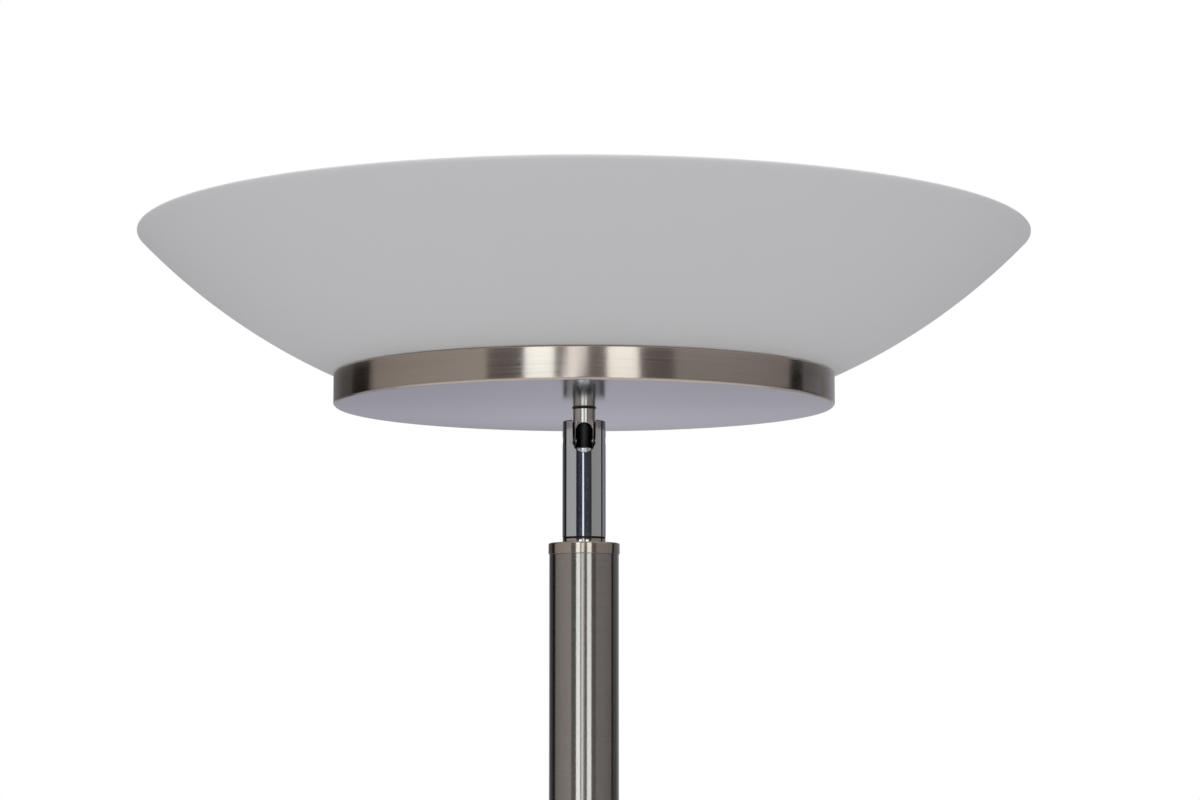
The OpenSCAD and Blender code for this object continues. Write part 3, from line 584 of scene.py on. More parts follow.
def carved(name, mesh, steps):
    """Applies (operation, other mesh) steps to a mesh, such as ("DIFFERENCE", drill)."""
    workpiece = bpy.data.objects.new(name, mesh)
    tools = []
    for operation, other in steps:
        tool = bpy.data.objects.new("tool", other)
        bpy.context.scene.collection.objects.link(tool)
        tools.append(tool)
        modifier = workpiece.modifiers.new(operation, "BOOLEAN")
        modifier.operation = operation
        modifier.solver = "EXACT"
        modifier.object = tool
    bpy.context.scene.collection.objects.link(workpiece)
    bpy.context.view_layer.update()
    graph = bpy.context.evaluated_depsgraph_get()
    result = bpy.data.meshes.new_from_object(workpiece.evaluated_get(graph))
    result.name = name
    for thing in tools + [workpiece]:
        bpy.data.objects.remove(thing)
    result.materials.clear()
    return result


# %% [markdown]
# ## The slotted sleeve
# This is the part that tells how the lamp works. A chromed rod 20 mm across has a bore for the
# stem and a slot as wide as that bore down its front. The slot's round end goes on below the
# bore's floor, where it lays bare a tapered core: a bright crescent under the dark window. So
# the cutter for the slot has the core taken out of it first, and leaves that much standing. A
# threaded hole crosses the sleeve for the two grub screws that hold the stem. The edges of the
# slot are broken by a quarter of a millimetre, which draws a fine line round it. Heights are
# counted from the pivot.

# %% Slotted sleeve
SLEEVE_R = 10.0
SLEEVE_EDGE = 0.5
BORE_R = 5.3
BORE_FLOOR = -3.42
SLOT_END_H = -0.8
SLOT_BREAK = 0.25
CORE_R = 4.68
CORE_LOW_R = 4.55
CORE_H = 3.2
CORE_EDGE = 0.25
GRUB_R = 2.0
LEAD_BORE_R = 3.0
NIPPLE_R = 5.0
NIPPLE_IN = 12.0
SHARP_ANGLE = 0.5
CHAMFER_SLOPE = (0.5, 0.9)
NEAR = 0.03
PAST = 3.0
sleeve_low, sleeve_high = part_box("joint_sleeve")
sleeve_bottom = (sleeve_low.z - PIVOT_Z) / MM
sleeve_top = (sleeve_high.z - PIVOT_Z) / MM
rod_outline = [
    (0, sleeve_bottom), (SLEEVE_R - SLEEVE_EDGE, sleeve_bottom),
    (SLEEVE_R, sleeve_bottom + SLEEVE_EDGE), (SLEEVE_R, sleeve_top - SLEEVE_EDGE),
    (SLEEVE_R - SLEEVE_EDGE, sleeve_top), (0, sleeve_top),
]
slot_outline = arc(0, SLOT_END_H, BORE_R, -180, 0, 48) + [
    (BORE_R, sleeve_top + PAST), (-BORE_R, sleeve_top + PAST),
]
core_outline = [
    (0, BORE_FLOOR - CORE_H), (CORE_LOW_R, BORE_FLOOR - CORE_H),
    (CORE_R, BORE_FLOOR - CORE_EDGE), (CORE_R - CORE_EDGE, BORE_FLOOR), (0, BORE_FLOOR),
]


def drill(radius, low, high):
    """An upright cylinder as a cutter, between two heights over the pivot."""
    return turned_mesh("drill", [(0, low), (radius, low), (radius, high), (0, high)], PIVOT_Z, 96)


def broken_edges(mesh, on_edge, width):
    """Bevels the sharp edges whose two ends both pass the test, and counts them."""
    maker = bmesh.new()
    maker.from_mesh(mesh)
    chosen = [
        e for e in maker.edges
        if len(e.link_faces) == 2 and e.calc_face_angle() > SHARP_ANGLE
        and all(on_edge(v.co) for v in e.verts)
    ]
    bmesh.ops.bevel(maker, geom=chosen, offset=width, segments=1, profile=0.5, affect="EDGES")
    maker.to_mesh(mesh)
    maker.free()
    return len(chosen)


def on_slot_edge(place):
    """True on the outside of the sleeve, along the slot and below the sleeve's top."""
    outside = abs(math.hypot(place.x, place.y) / MM - SLEEVE_R) < NEAR
    in_front = place.y < 0 and abs(place.x) / MM < BORE_R + NEAR
    height = (place.z - PIVOT_Z) / MM
    in_slot = SLOT_END_H - BORE_R - NEAR < height < sleeve_top - SLEEVE_EDGE - NEAR
    return outside and in_front and in_slot


sleeve_mesh = carved("joint_sleeve_turned", turned_mesh("rod", rod_outline, PIVOT_Z, 128), [
    ("DIFFERENCE", drill(BORE_R, BORE_FLOOR, sleeve_top + PAST)),
    ("DIFFERENCE", carved("slot", extruded(slot_outline, "y", -SLEEVE_R - PAST, 0, PIVOT_Z), [
        ("DIFFERENCE", turned_mesh("core", core_outline, PIVOT_Z, 96)),
    ])),
    ("DIFFERENCE", drill(LEAD_BORE_R, sleeve_bottom - PAST, 0)),
    ("DIFFERENCE", drill(NIPPLE_R, sleeve_bottom - PAST, sleeve_bottom + NIPPLE_IN)),
    ("DIFFERENCE", extruded(circle(0, 0, GRUB_R), "x", -SLEEVE_R - PAST, SLEEVE_R + PAST, PIVOT_Z)),
])
print("slot edges broken:", broken_edges(sleeve_mesh, on_slot_edge, SLOT_BREAK * MM))
make_piece("joint_sleeve_turned", sleeve_mesh, polished_chrome, "stand", "joint_sleeve")
sleeve_mesh.materials.append(turned_chrome_painted_highlight)
sleeve_mesh.materials.append(chamfer_painted_shade)
for face in sleeve_mesh.polygons:
    radius = math.hypot(face.center.x, face.center.y) / MM
    height = (face.center.z - PIVOT_Z) / MM
    # The core takes the brighter chrome, a painted highlight.
    on_core = CORE_LOW_R - CORE_EDGE < radius < CORE_R + NEAR
    if on_core and BORE_FLOOR - CORE_H < height < BORE_FLOOR:
        face.material_index = 1
    # The chamfers at the ends and below the slot take the painted shade.
    sloping = CHAMFER_SLOPE[0] < abs(face.normal.z) < CHAMFER_SLOPE[1]
    if sloping and radius > SLEEVE_R - SLEEVE_EDGE:
        face.material_index = 2

# %% [markdown]
# ## The stem
# The stem is a tube that hangs under the pan. Its lower end is a ball at the back and a roller
# at the front, so it can turn in the sleeve. It is bored out to a thin wall there, and two holes
# take the tips of the grub screws. A window with a round top is milled through its front, and
# the black lead shows in it. When the pan tilts, the lead passes through that window. Plating
# doesn't reach inside a tube, so the bore keeps its dark mill scale.

# %% Stem
STEM_R = 5.2
STEM_NIPPLE_R = 4.0
CHEEK = 1.2
WINDOW_TOP = 8.2
POCKET_R = 3.8
POCKET_TOP = 7.6
STEM_EDGE = 0.4
HEEL_TOP = 0.5
BORE_WITHIN = 0.02
PIN_R = 1.3
window_r = STEM_R - CHEEK
reach = math.sqrt(STEM_R ** 2 - window_r ** 2)
stem_high = (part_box("stem")[1].z - PIVOT_Z) / MM
stem_shoulder = (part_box("stem_washer")[0].z - PIVOT_Z) / MM
stem_outline = [
    (0, 0), (STEM_R, 0), (STEM_R, stem_shoulder - STEM_EDGE), (STEM_R - STEM_EDGE, stem_shoulder),
    (STEM_NIPPLE_R, stem_shoulder), (STEM_NIPPLE_R, stem_high - STEM_EDGE),
    (STEM_NIPPLE_R - STEM_EDGE, stem_high), (0, stem_high),
]
ball_outline = [(0, -STEM_R)] + arc(0, 0, STEM_R, -80, 80, 24) + [(0, STEM_R)]
ball = turned_mesh("ball", ball_outline, PIVOT_Z, 96)
wide = STEM_R + 1
heel = extruded([(0, -reach), (wide, -reach), (wide, HEEL_TOP), (0, HEEL_TOP)],
                "x", -wide, wide, PIVOT_Z)
roller = extruded(circle(0, 0, reach, 64), "x", -wide, wide, PIVOT_Z)
lower_end = carved("lower_end", ball, [
    ("INTERSECT", carved("heel_and_roller", heel, [("UNION", roller)])),
])
window = (
    arc(0, WINDOW_TOP - window_r, window_r, 0, 180, 32)
    + [(-window_r, -STEM_R - PAST), (window_r, -STEM_R - PAST)]
)
stem_mesh = carved("stem_turned", turned_mesh("tube", stem_outline, PIVOT_Z, 96), [
    ("UNION", lower_end),
    ("DIFFERENCE", drill(LEAD_BORE_R, -STEM_R - PAST, stem_high + PAST)),
    ("DIFFERENCE", drill(POCKET_R, -STEM_R - PAST, POCKET_TOP)),
    ("DIFFERENCE", extruded(window, "y", -STEM_R - PAST, 0, PIVOT_Z)),
    ("DIFFERENCE", extruded(circle(0, 0, PIN_R, 32), "x", -STEM_R - PAST, STEM_R + PAST, PIVOT_Z)),
])
# The stem's brighter nickel is a painted highlight.
make_piece("stem_turned", stem_mesh, stem_nickel_painted_highlight, "head", "stem")
stem_mesh.materials.append(mill_scale)
for face in stem_mesh.polygons:
    inside = math.hypot(face.center.x, face.center.y) / MM < POCKET_R + BORE_WITHIN
    face.material_index = 1 if inside else 0

# %% [markdown]
# A thin black nylon washer keeps the stem from marking the pan. Its black draws the dark line
# where the two meet, and stands in for the shade in that narrow gap too: partly painted shade.

# %% Stem washer
WASHER_HOLE_R = 4.2
WASHER_EDGE = 0.2
washer_low, washer_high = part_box("stem_washer")
washer_r = washer_high.x / MM
washer_t = (washer_high.z - washer_low.z) / MM
washer_outline = (
    [(WASHER_HOLE_R, 0)]
    + arc(washer_r - WASHER_EDGE, WASHER_EDGE, WASHER_EDGE, -90, 0, 3)
    + arc(washer_r - WASHER_EDGE, washer_t - WASHER_EDGE, WASHER_EDGE, 0, 90, 3)
    + [(WASHER_HOLE_R, washer_t)]
)
# The washer's black is partly painted shade for the gap under the pan.
washer_mesh = turned_mesh("stem_washer_turned", washer_outline, washer_low.z, 128)
make_piece("stem_washer_turned", washer_mesh, black_nylon, "head", "stem_washer")

# %% [markdown]
# ## The pole
# The pole is three steel tubes 32 mm across that screw into each other, so the lamp fits in a
# carton. The ends are deburred, which leaves a hairline at each joint. On top sits a cap: a
# flange a little wider than the pole, a short polished neck under the sleeve, and a plug that
# goes into the tube. A black washer lies between neck and sleeve; its black also stands in for
# the shade in that gap, partly painted shade. A foot of the same kind holds the pole on the base.

# %% Pole
TUBE_R = 16.0
TUBE_T = 1.2
TUBE_EASE = 0.3
inner_r = TUBE_R - TUBE_T
# The tubes' darker, cooler nickel is painted shade.
for section in ("pole_top", "pole_middle", "pole_bottom"):
    low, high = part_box(section)
    length = (high.z - low.z) / MM
    tube_outline = [
        (inner_r, 0), (TUBE_R - TUBE_EASE, 0), (TUBE_R, TUBE_EASE), (TUBE_R, length - TUBE_EASE),
        (TUBE_R - TUBE_EASE, length), (inner_r, length),
    ]
    tube = turned_mesh(section + "_tube", tube_outline, low.z, 160)
    make_piece(section + "_tube", tube, tube_nickel_painted_shade, "stand", section)

# %% Pole cap
NECK_R = 9.9
NECK_EDGE = 0.15
NECK_FILLET = 0.2
FLANGE_H = 5.1
FLANGE_EDGE = 0.8
FLANGE_LOW_EDGE = 0.04
CAP_BORE_R = 5.1
PLUG_T = 3.0
PLUG_EDGE = 0.3
WEB_T = 3.5
cap_low, cap_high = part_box("pole_cap")
cap_r = cap_high.x / MM
neck_top = (cap_high.z - CAP_Z) / MM
plug_end = (cap_low.z - CAP_Z) / MM
cap_outline = (
    [(CAP_BORE_R, neck_top), (NECK_R - NECK_EDGE, neck_top), (NECK_R, neck_top - NECK_EDGE)]
    + arc(NECK_R + NECK_FILLET, FLANGE_H + NECK_FILLET, NECK_FILLET, 180, 270, 3)
    + arc(cap_r - FLANGE_EDGE, FLANGE_H - FLANGE_EDGE, FLANGE_EDGE, 90, 0, 8)
    + [(cap_r, FLANGE_LOW_EDGE), (cap_r - FLANGE_LOW_EDGE, 0), (inner_r, 0)]
    + [(inner_r, plug_end + PLUG_EDGE), (inner_r - PLUG_EDGE, plug_end)]
    + [(inner_r - PLUG_T, plug_end), (inner_r - PLUG_T, FLANGE_H - WEB_T)]
    + [(CAP_BORE_R, FLANGE_H - WEB_T)]
)
cap_mesh = turned_mesh("pole_cap_turned", cap_outline, CAP_Z, 160)
make_piece("pole_cap_turned", cap_mesh, satin_nickel, "stand", "pole_cap")
cap_mesh.materials.append(polished_nickel)
for face in cap_mesh.polygons:
    outside = math.hypot(face.center.x, face.center.y) / MM > NECK_R - NECK_EDGE
    above_flange = (face.center.z - CAP_Z) / MM > FLANGE_H + NECK_FILLET / 2
    face.material_index = 1 if outside and above_flange else 0

# %% [markdown]
# ## The foot and the base
# The base is a spun steel cover over a cast weight. Its upper edge has a radius of 5 mm, and
# its skirt stops just above the floor, where six rubber pads carry the lamp. The cover has one
# hole in its back for the cord gland.

# %% Pole foot
FOOT_BORE_R = 5.0
FOOT_TOP_EDGE = 0.15
foot_low, foot_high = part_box("pole_foot")
foot_h = (foot_high.z - foot_low.z) / MM
foot_r = foot_high.x / MM
foot_outline = (
    [(FOOT_BORE_R, 0)]
    + arc(foot_r - FLANGE_EDGE, FLANGE_EDGE, FLANGE_EDGE, -90, 0, 8)
    + [(foot_r, FLANGE_H - FOOT_TOP_EDGE), (foot_r - FOOT_TOP_EDGE, FLANGE_H), (inner_r, FLANGE_H)]
    + [(inner_r, foot_h - PLUG_EDGE), (inner_r - PLUG_EDGE, foot_h), (FOOT_BORE_R, foot_h)]
)
foot_mesh = turned_mesh("pole_foot_turned", foot_outline, foot_low.z, 160)
make_piece("pole_foot_turned", foot_mesh, satin_nickel, "stand", "pole_foot")

# %% Base cover
COVER_T = 1.2
COVER_EDGE = 5.0
SKIRT_EASE = 0.2
GLAND_NECK_R = 5.5
GLAND_DRILL = 4.0
cover_low, cover_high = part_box("base_cover")
gland_low, gland_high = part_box("cord_gland")
gland_z = (gland_low.z + gland_high.z) / 2
base_r = cover_high.x / MM
cover_h = (cover_high.z - cover_low.z) / MM
cover_outline = (
    [(FOOT_BORE_R, cover_h)]
    + arc(base_r - COVER_EDGE, cover_h - COVER_EDGE, COVER_EDGE, 90, 0, 14)
    + [(base_r, SKIRT_EASE), (base_r - SKIRT_EASE, 0)]
    + [(base_r - COVER_T + SKIRT_EASE, 0), (base_r - COVER_T, SKIRT_EASE)]
    + arc(base_r - COVER_EDGE, cover_h - COVER_EDGE, COVER_EDGE - COVER_T, 0, 90, 10)
    + [(FOOT_BORE_R, cover_h - COVER_T)]
)
gland_hole = extruded(circle(0, 0, GLAND_NECK_R), "y",
                      base_r - GLAND_DRILL, base_r + GLAND_DRILL, gland_z)
cover_mesh = carved("base_cover_spun", turned_mesh("cover", cover_outline, cover_low.z, 288), [
    ("DIFFERENCE", gland_hole),
])
make_piece("base_cover_spun", cover_mesh, base_nickel, "stand", "base_cover")

# %% [markdown]
# The pads are moulded rubber discs. Their lower edge is rounded, so the lamp slides without
# scratching the floor. One outline makes all six, each round its own centre.

# %% Foot pads
PAD_COUNT = 6
PAD_R = 9.0
PAD_EDGE = 0.8
pads_low, pads_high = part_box("foot_pads")
pad_h = (pads_high.z - pads_low.z) / MM
pad_ring_r = pads_high.x - PAD_R * MM
pad_outline = (
    [(0, 0)]
    + arc(PAD_R - PAD_EDGE, PAD_EDGE, PAD_EDGE, -90, 0, 6)
    + [(PAD_R, pad_h), (0, pad_h)]
)
maker = bmesh.new()
for k in range(PAD_COUNT):
    turn = 2 * math.pi * (k + 0.5) / PAD_COUNT
    centre = (pad_ring_r * math.cos(turn), pad_ring_r * math.sin(turn))
    maker.from_mesh(turned_mesh("pad", pad_outline, pads_low.z, 64, centre))
pads_mesh = closed_mesh("foot_pads_moulded", maker)
make_piece("foot_pads_moulded", pads_mesh, black_rubber, "stand", "foot_pads")

# %% [markdown]
# ## The lead in the joint
# One black lead runs from the terminal block in the base up the pole, through the joint, and
# into the head. The working model splits it at the pivot, because a rigid piece can't bend. Here
# it is one piece again. The route is the same: straight runs with round bends. It has many short
# steps round the pivot and a few long ones down the pole.

# %% Lead
LEAD_R = 2.6
LEAD_SIDES = 24
LEAD_LONG_STEP = 100
LEAD_FINE_STEP = 0.5
LEAD_FINE_BELOW = 35
LEAD_FINE_LENGTH = 60
LEAD_STEP_GAP = 5
BEND_TURNS = [math.radians(a) for a in range(0, 91, 9)]
HEAD_BEND_R = 11.0
BASE_BEND_R = 12.0
head_lead_low, head_lead_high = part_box("head_lead")
stand_lead_low, stand_lead_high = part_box("stand_lead")
head_lead_end = (head_lead_low.y / MM, head_lead_high.z / MM - LEAD_R)
base_lead_end = (stand_lead_high.y / MM, stand_lead_low.z / MM + LEAD_R)
fine_from = PIVOT_Z / MM - LEAD_FINE_BELOW
base_bend_h = base_lead_end[1] + BASE_BEND_R
head_bend_h = head_lead_end[1] - HEAD_BEND_R
route = [base_lead_end]
route += [(BASE_BEND_R - BASE_BEND_R * math.sin(t), base_bend_h - BASE_BEND_R * math.cos(t))
          for t in BEND_TURNS]
route += [(0, h) for h in range(LEAD_LONG_STEP, int(fine_from) - LEAD_STEP_GAP, LEAD_LONG_STEP)]
fine_steps = int(LEAD_FINE_LENGTH / LEAD_FINE_STEP)
route += [(0, fine_from + k * LEAD_FINE_STEP) for k in range(fine_steps)]
route += [(-HEAD_BEND_R + HEAD_BEND_R * math.cos(t), head_bend_h + HEAD_BEND_R * math.sin(t))
          for t in BEND_TURNS]
route.append(head_lead_end)


def tube_mesh(name, path, radius, sides):
    """A round tube through points (y, height) in millimetres in the plane x = 0."""
    maker = bmesh.new()
    rings = []
    for i, (y, height) in enumerate(path):
        before = path[max(i - 1, 0)]
        after = path[min(i + 1, len(path) - 1)]
        run = math.hypot(after[0] - before[0], after[1] - before[1])
        along_y = (after[0] - before[0]) / run
        along_h = (after[1] - before[1]) / run
        ring = []
        for k in range(sides):
            turn = 2 * math.pi * k / sides
            across = radius * math.cos(turn)
            out = radius * math.sin(turn)
            ring.append(maker.verts.new(
                (across * MM, (y + out * along_h) * MM, (height - out * along_y) * MM)))
        rings.append(ring)
    for first, second in zip(rings, rings[1:]):
        for k in range(sides):
            n = (k + 1) % sides
            maker.faces.new([first[k], first[n], second[n], second[k]])
    maker.faces.new(rings[0])
    maker.faces.new(rings[-1])
    return closed_mesh(name, maker)


lead_mesh = tube_mesh("lead", route, LEAD_R, LEAD_SIDES)
lead_mesh.materials.append(black_pvc)
lead_mesh.shade_smooth()
lead_mesh.set_sharp_from_angle(angle=math.radians(40))
lead = bpy.data.objects.new("lead", lead_mesh)
bpy.context.scene.collection.objects.link(lead)
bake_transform(lead)
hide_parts("head_lead", "stand_lead")
lead_length = sum(math.dist(a, b) for a, b in zip(route, route[1:])) * MM
print(f"lead: {len(route)} rings, {lead_length:.3f} m long")

# %% [markdown]
# ## Floor
# The floor is a plain pale disc whose rim is far from the lamp. The camera and mirrors see it
# a little paler than diffuse rays do, and the camera sees a faint glow on it too, so it looks
# pale without throwing much light up at the glass. It keeps the lamp's shadow either way.
# `seen_directly` gives 1 for camera, mirror and glass rays. The world needs it as well.

# %% Floor
FLOOR_RADIUS = 6.0
FLOOR_STEPS = 128
FLOOR_LIFT = 0.24


def seen_directly(tree, ray):
    """The socket that tells camera, mirror and glass rays from diffuse ones."""
    direct = add(tree, "ShaderNodeMath", {"operation": "MAXIMUM"}, {
        0: ray.outputs["Is Camera Ray"], 1: ray.outputs["Is Glossy Ray"],
    })
    shown = add(tree, "ShaderNodeMath", {"operation": "MAXIMUM"}, {
        0: direct.outputs["Value"], 1: ray.outputs["Is Transmission Ray"],
    })
    return shown.outputs["Value"]


floor_maker = bmesh.new()
floor_ring = [
    floor_maker.verts.new((FLOOR_RADIUS * math.cos(2 * math.pi * k / FLOOR_STEPS),
                           FLOOR_RADIUS * math.sin(2 * math.pi * k / FLOOR_STEPS), 0))
    for k in range(FLOOR_STEPS)
]
floor_maker.faces.new(floor_ring)
floor_mesh = bpy.data.meshes.new("floor")
floor_maker.to_mesh(floor_mesh)
floor_maker.free()
floor = bpy.data.objects.new("floor", floor_mesh)
bpy.context.scene.collection.objects.link(floor)

floor_finish = bpy.data.materials.new("pale_floor")
tree = new_tree(floor_finish)
ray = add(tree, "ShaderNodeLightPath")
tint = add(tree, "ShaderNodeMix", {"data_type": "RGBA"}, {
    "Factor": seen_directly(tree, ray), "A": linear("#dcdcde"), "B": linear("#f0f0f0"),
})
surface = add(tree, "ShaderNodeBsdfDiffuse", None, {"Color": tint.outputs["Result"]})
lift = add(tree, "ShaderNodeMath", {"operation": "MULTIPLY"}, {
    0: ray.outputs["Is Camera Ray"], 1: FLOOR_LIFT,
})
glow = add(tree, "ShaderNodeEmission", None, {"Strength": lift.outputs["Value"]})
both = add(tree, "ShaderNodeAddShader", None, {
    0: surface.outputs["BSDF"], 1: glow.outputs["Emission"],
})
add(tree, "ShaderNodeOutputMaterial", None, {"Surface": both.outputs["Shader"]})
floor_mesh.materials.append(floor_finish)
print(f"floor: {FLOOR_RADIUS} m from the pole to the rim")

# %% [markdown]
# ## World
# The world is plain white where the camera or a mirror looks straight at it. For diffuse light
# it is at a plain, lower level, so the lamp's own colours come out about as they are written.

# %% World
AMBIENT = 0.55
world = bpy.data.worlds.new("studio")
bpy.context.scene.world = world
tree = new_tree(world)
ray = add(tree, "ShaderNodeLightPath")
level = add(tree, "ShaderNodeMix", {"data_type": "FLOAT"}, {
    "Factor": seen_directly(tree, ray), "A": AMBIENT, "B": 1.0,
})
sky = add(tree, "ShaderNodeBackground", None, {
    "Color": (1.0, 1.0, 1.0, 1.0), "Strength": level.outputs["Result"],
})
add(tree, "ShaderNodeOutputWorld", None, {"Surface": sky.outputs["Background"]})
print(f"world: white to look at, {AMBIENT} as diffuse light")

# %% [markdown]
# ## Soft lamps
# Two large soft lamps from the front and one from above give the white parts their gentle
# shading. The left one is a little stronger, so the bowl's right end is a shade darker. Metal
# doesn't show them, because what metal mirrors is set up on its own below.

# %% Lamps
def soft_lamp(name, place, aim, size, watts):
    """A square area lamp that points at a place."""
    data = bpy.data.lights.new(name, "AREA")
    data.size = size
    data.energy = watts
    piece = bpy.data.objects.new(name, data)
    direction = Vector(aim) - Vector(place)
    piece.rotation_euler = direction.to_track_quat("-Z", "Y").to_euler()
    piece.location = place
    piece.visible_glossy = False
    bpy.context.scene.collection.objects.link(piece)
    return piece


head_centre = (0, 0, PAN_Z)
soft_lamp("lamp_left", (-3.0, -3.2, 1.5), head_centre, 2.2, 13)
soft_lamp("lamp_right", (3.0, -3.2, 1.5), head_centre, 2.2, 11)
soft_lamp("lamp_top", (0, 0.6, 4.2), head_centre, 2.0, 40)
print("soft lamps:", len(bpy.data.lights))

# %% [markdown]
# ## What the metal mirrors
# Bright metal has no look of its own: it shows what is round it. So a ring of panels stands
# round the lamp, two metres from the pole. Only metal and glass see it: it casts no light or
# shadow. A panel's colour is given at a few angles, counted from the front and positive to the
# right, and fades from one to the next. The shader reads it from the mesh as a colour layer.

# %% Panels
RING_R = 2.0
PANEL_STEP = 2.0


def panel(name, stops, low, high, strength=1.0, radius=RING_R):
    """A curved upright panel round the pole, seen only in reflections."""
    maker = bmesh.new()
    colour_layer = maker.verts.layers.float_color.new("Col")
    columns = []
    for (turn_from, colour_from), (turn_to, colour_to) in zip(stops, stops[1:]):
        count = max(1, math.ceil((turn_to - turn_from) / PANEL_STEP))
        first = 1 if columns else 0
        for k in range(first, count + 1):
            turn = math.radians(turn_from + (turn_to - turn_from) * k / count)
            mixed = [
                a + (b - a) * k / count for a, b in zip(linear(colour_from), linear(colour_to))
            ]
            x, y = radius * math.sin(turn), -radius * math.cos(turn)
            column = []
            for height in (low, high):
                corner = maker.verts.new((x, y, height))
                corner[colour_layer] = mixed
                column.append(corner)
            columns.append(column)
    for left, right in zip(columns, columns[1:]):
        maker.faces.new([left[0], right[0], right[1], left[1]])
    mesh = bpy.data.meshes.new(name)
    maker.to_mesh(mesh)
    maker.free()
    finish = bpy.data.materials.new(name)
    tree = new_tree(finish)
    colour = add(tree, "ShaderNodeVertexColor", {"layer_name": "Col"})
    glow = add(tree, "ShaderNodeEmission", None, {
        "Color": colour.outputs["Color"], "Strength": strength,
    })
    add(tree, "ShaderNodeOutputMaterial", None, {"Surface": glow.outputs["Emission"]})
    mesh.materials.append(finish)
    piece = bpy.data.objects.new(name, mesh)
    bpy.context.scene.collection.objects.link(piece)
    piece.visible_camera = False
    piece.visible_diffuse = False
    piece.visible_shadow = False
    piece.visible_transmission = False
    return piece


# %% [markdown]
# The ring has zones of height, because from the camera each part mirrors its own. The pole
# mirrors the low zone, the sleeve the one at eye level, and the pan's wall the high one. The
# first panels are the sides and the back: grey walls, and black flags that draw dark lines near
# the edges of every round part. The zone at eye level is 0.1 m nearer where it covers a wall.
# The last panels stand behind the lamp, and the underside of the pan mirrors them.

# %% Sides and back
SKIRT_TOP = 0.9
EYE_LOW = 1.72
EYE_HIGH = 1.98
PANEL_TOP = 4.0
NEARER_R = RING_R - 0.1
FLAG_WIDTH = 8.5
FLAG_BLACK = "#181615"
FRONT_LEFT = -42.5
FRONT_RIGHT = 39.5
EYE_FRONT_RIGHT = 40.5
EYE_FLAG_FROM = 103
BACK_LOW = 1.1
BACK_SPLIT = 1.54
BACK_HIGH = 1.70
panel("skirt", [(-180, "#a8a8ac"), (180, "#a8a8ac")], 0, SKIRT_TOP)
panel("back_left", [(-180, "#8c8c90"), (-160, "#747478"), (-150, "#666669"), (-140, "#525254"),
                    (-127, "#4a4a4b")], SKIRT_TOP, PANEL_TOP)
panel("flag_left", [(-127, "#1f1b19"), (-110.5, "#1f1b19")], SKIRT_TOP, PANEL_TOP)
panel("side_left", [(-110.5, "#737170"), (-98, "#82807f"), (-88, "#8b8988"), (-66, "#969492"),
                    (FRONT_LEFT, "#a09e9b")], SKIRT_TOP, PANEL_TOP)
for zone, low, high, edge, strength in (("low", SKIRT_TOP, EYE_LOW, 101.5, 0.78),
                                        ("high", EYE_LOW, PANEL_TOP, 106.5, 1.08)):
    flag_end = edge + FLAG_WIDTH
    panel("side_right_" + zone, [(FRONT_RIGHT, "#898787"), (65, "#868586"), (85, "#7d7b7d"),
                                 (95, "#757374"), (edge, "#6e6c6d")], low, high, strength)
    panel("flag_right_" + zone, [(edge, FLAG_BLACK), (flag_end, FLAG_BLACK)], low, high)
    panel("back_right_" + zone, [(flag_end, "#424244"), (128, "#49494b"), (133, "#5c5c5f"),
                                 (139, "#737377"), (146, "#7f7f88"), (155, "#93939c"),
                                 (180, "#b4b4ba")], low, high)
for name, start, first, stop, last in (
        ("eye_side_left", -106.5, "#a5a4a4", FRONT_LEFT, "#a9a8a8"),
        ("eye_side_right", EYE_FRONT_RIGHT, "#8e8d8b", EYE_FLAG_FROM, "#949291"),
        ("eye_flag_right", EYE_FLAG_FROM, FLAG_BLACK, 113.5, FLAG_BLACK),
        ("eye_back_right", 114, "#797983", 134, "#83838f")):
    panel(name, [(start, first), (stop, last)], EYE_LOW, EYE_HIGH, 1.0, NEARER_R)
for zone, low, high, strength in (("low", BACK_LOW, BACK_SPLIT, 0.91),
                                  ("high", BACK_SPLIT, BACK_HIGH, 1.10)):
    panel("back_eye_" + zone, [(155, "#b0afb7"), (171, "#adacb4"), (175, "#aeadb5"),
                               (179, "#b2b1b9"), (182, "#b1b0b8"), (185, "#aba9b2"),
                               (188, "#a7a6af"), (205, "#a6a5ae")],
          low, high, strength, NEARER_R)

# %% [markdown]
# At the front two soft boxes stand left and right of the camera, with a slit of daylight
# between them. They give the pole its two bright bands and the fine line in the middle. At eye
# level the front is a dark room with only the slit, so the sleeve has one bright line.

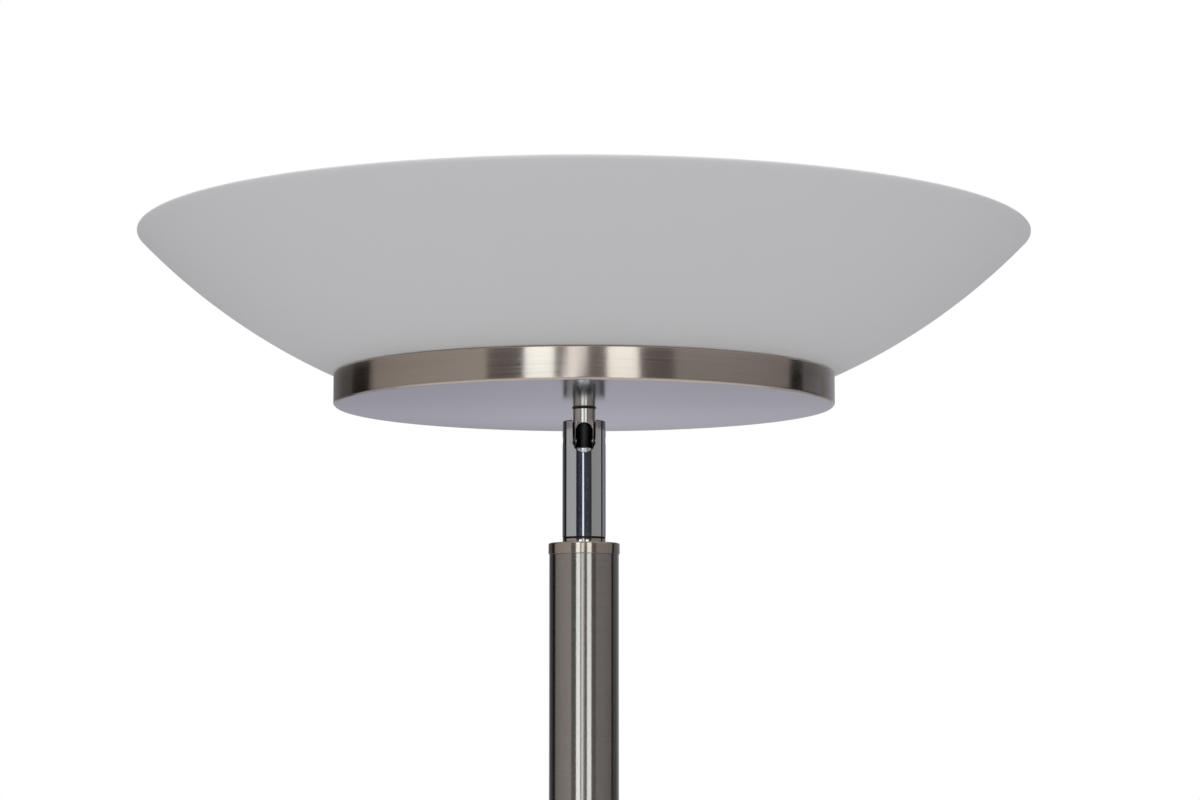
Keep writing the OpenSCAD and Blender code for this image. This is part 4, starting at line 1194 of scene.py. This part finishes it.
# %% Front
BOX_HIGH = 3.4
BOX_STRENGTH = 2.15
SLIT_STRENGTH = 1.4
LEFT_BOX = (-25.8, -12.6)
RIGHT_BOX = (10.2, 24.1)
DAYLIGHT = "#f2f6fc"
EYE_SLIT = (-8.8, -0.4)
EYE_DAYLIGHT = "#eef2f9"
for zone, low, high, box_high, start, stop in (
        ("low", SKIRT_TOP, EYE_LOW, EYE_LOW, -9.6, -2.6),
        ("high", EYE_HIGH, PANEL_TOP, BOX_HIGH, -7.0, 1.8)):
    panel("gap_left_" + zone, [(FRONT_LEFT, "#676463"), (LEFT_BOX[0], "#676463")], low, high)
    panel("soft_box_left_" + zone, [(LEFT_BOX[0], "#f0fbff"), (LEFT_BOX[1], "#f0fbff")],
          low, box_high, BOX_STRENGTH)
    panel("gap_slit_" + zone, [(LEFT_BOX[1], "#7a7977"), (start, "#7a7977")], low, high)
    panel("slit_" + zone, [(start, DAYLIGHT), (stop, DAYLIGHT)], low, high, SLIT_STRENGTH)
    panel("gap_middle_" + zone, [(stop, "#7a7876"), (RIGHT_BOX[0], "#6c6a69")], low, high)
    panel("soft_box_right_" + zone, [(RIGHT_BOX[0], "#eaf2f5"), (RIGHT_BOX[1], "#eaf2f5")],
          low, box_high, BOX_STRENGTH)
    panel("gap_right_" + zone, [(RIGHT_BOX[1], "#6c6968"), (33, "#5e5c5b"),
                                (FRONT_RIGHT, "#5c5a59")], low, high)
panel("eye_left", [(FRONT_LEFT, "#282a2e"), (-28, "#2d3039"), (EYE_SLIT[0], "#3e4352")],
      EYE_LOW, EYE_HIGH)
panel("slit_eye", [(EYE_SLIT[0], EYE_DAYLIGHT), (EYE_SLIT[1], EYE_DAYLIGHT)],
      EYE_LOW, EYE_HIGH, 1.15)
panel("eye_right", [(EYE_SLIT[1], "#40414a"), (20, "#36373d"), (EYE_FRONT_RIGHT, "#343437")],
      EYE_LOW, EYE_HIGH, 1.0, NEARER_R)
print("panels:", sum(1 for m in bpy.data.meshes if "Col" in m.attributes))
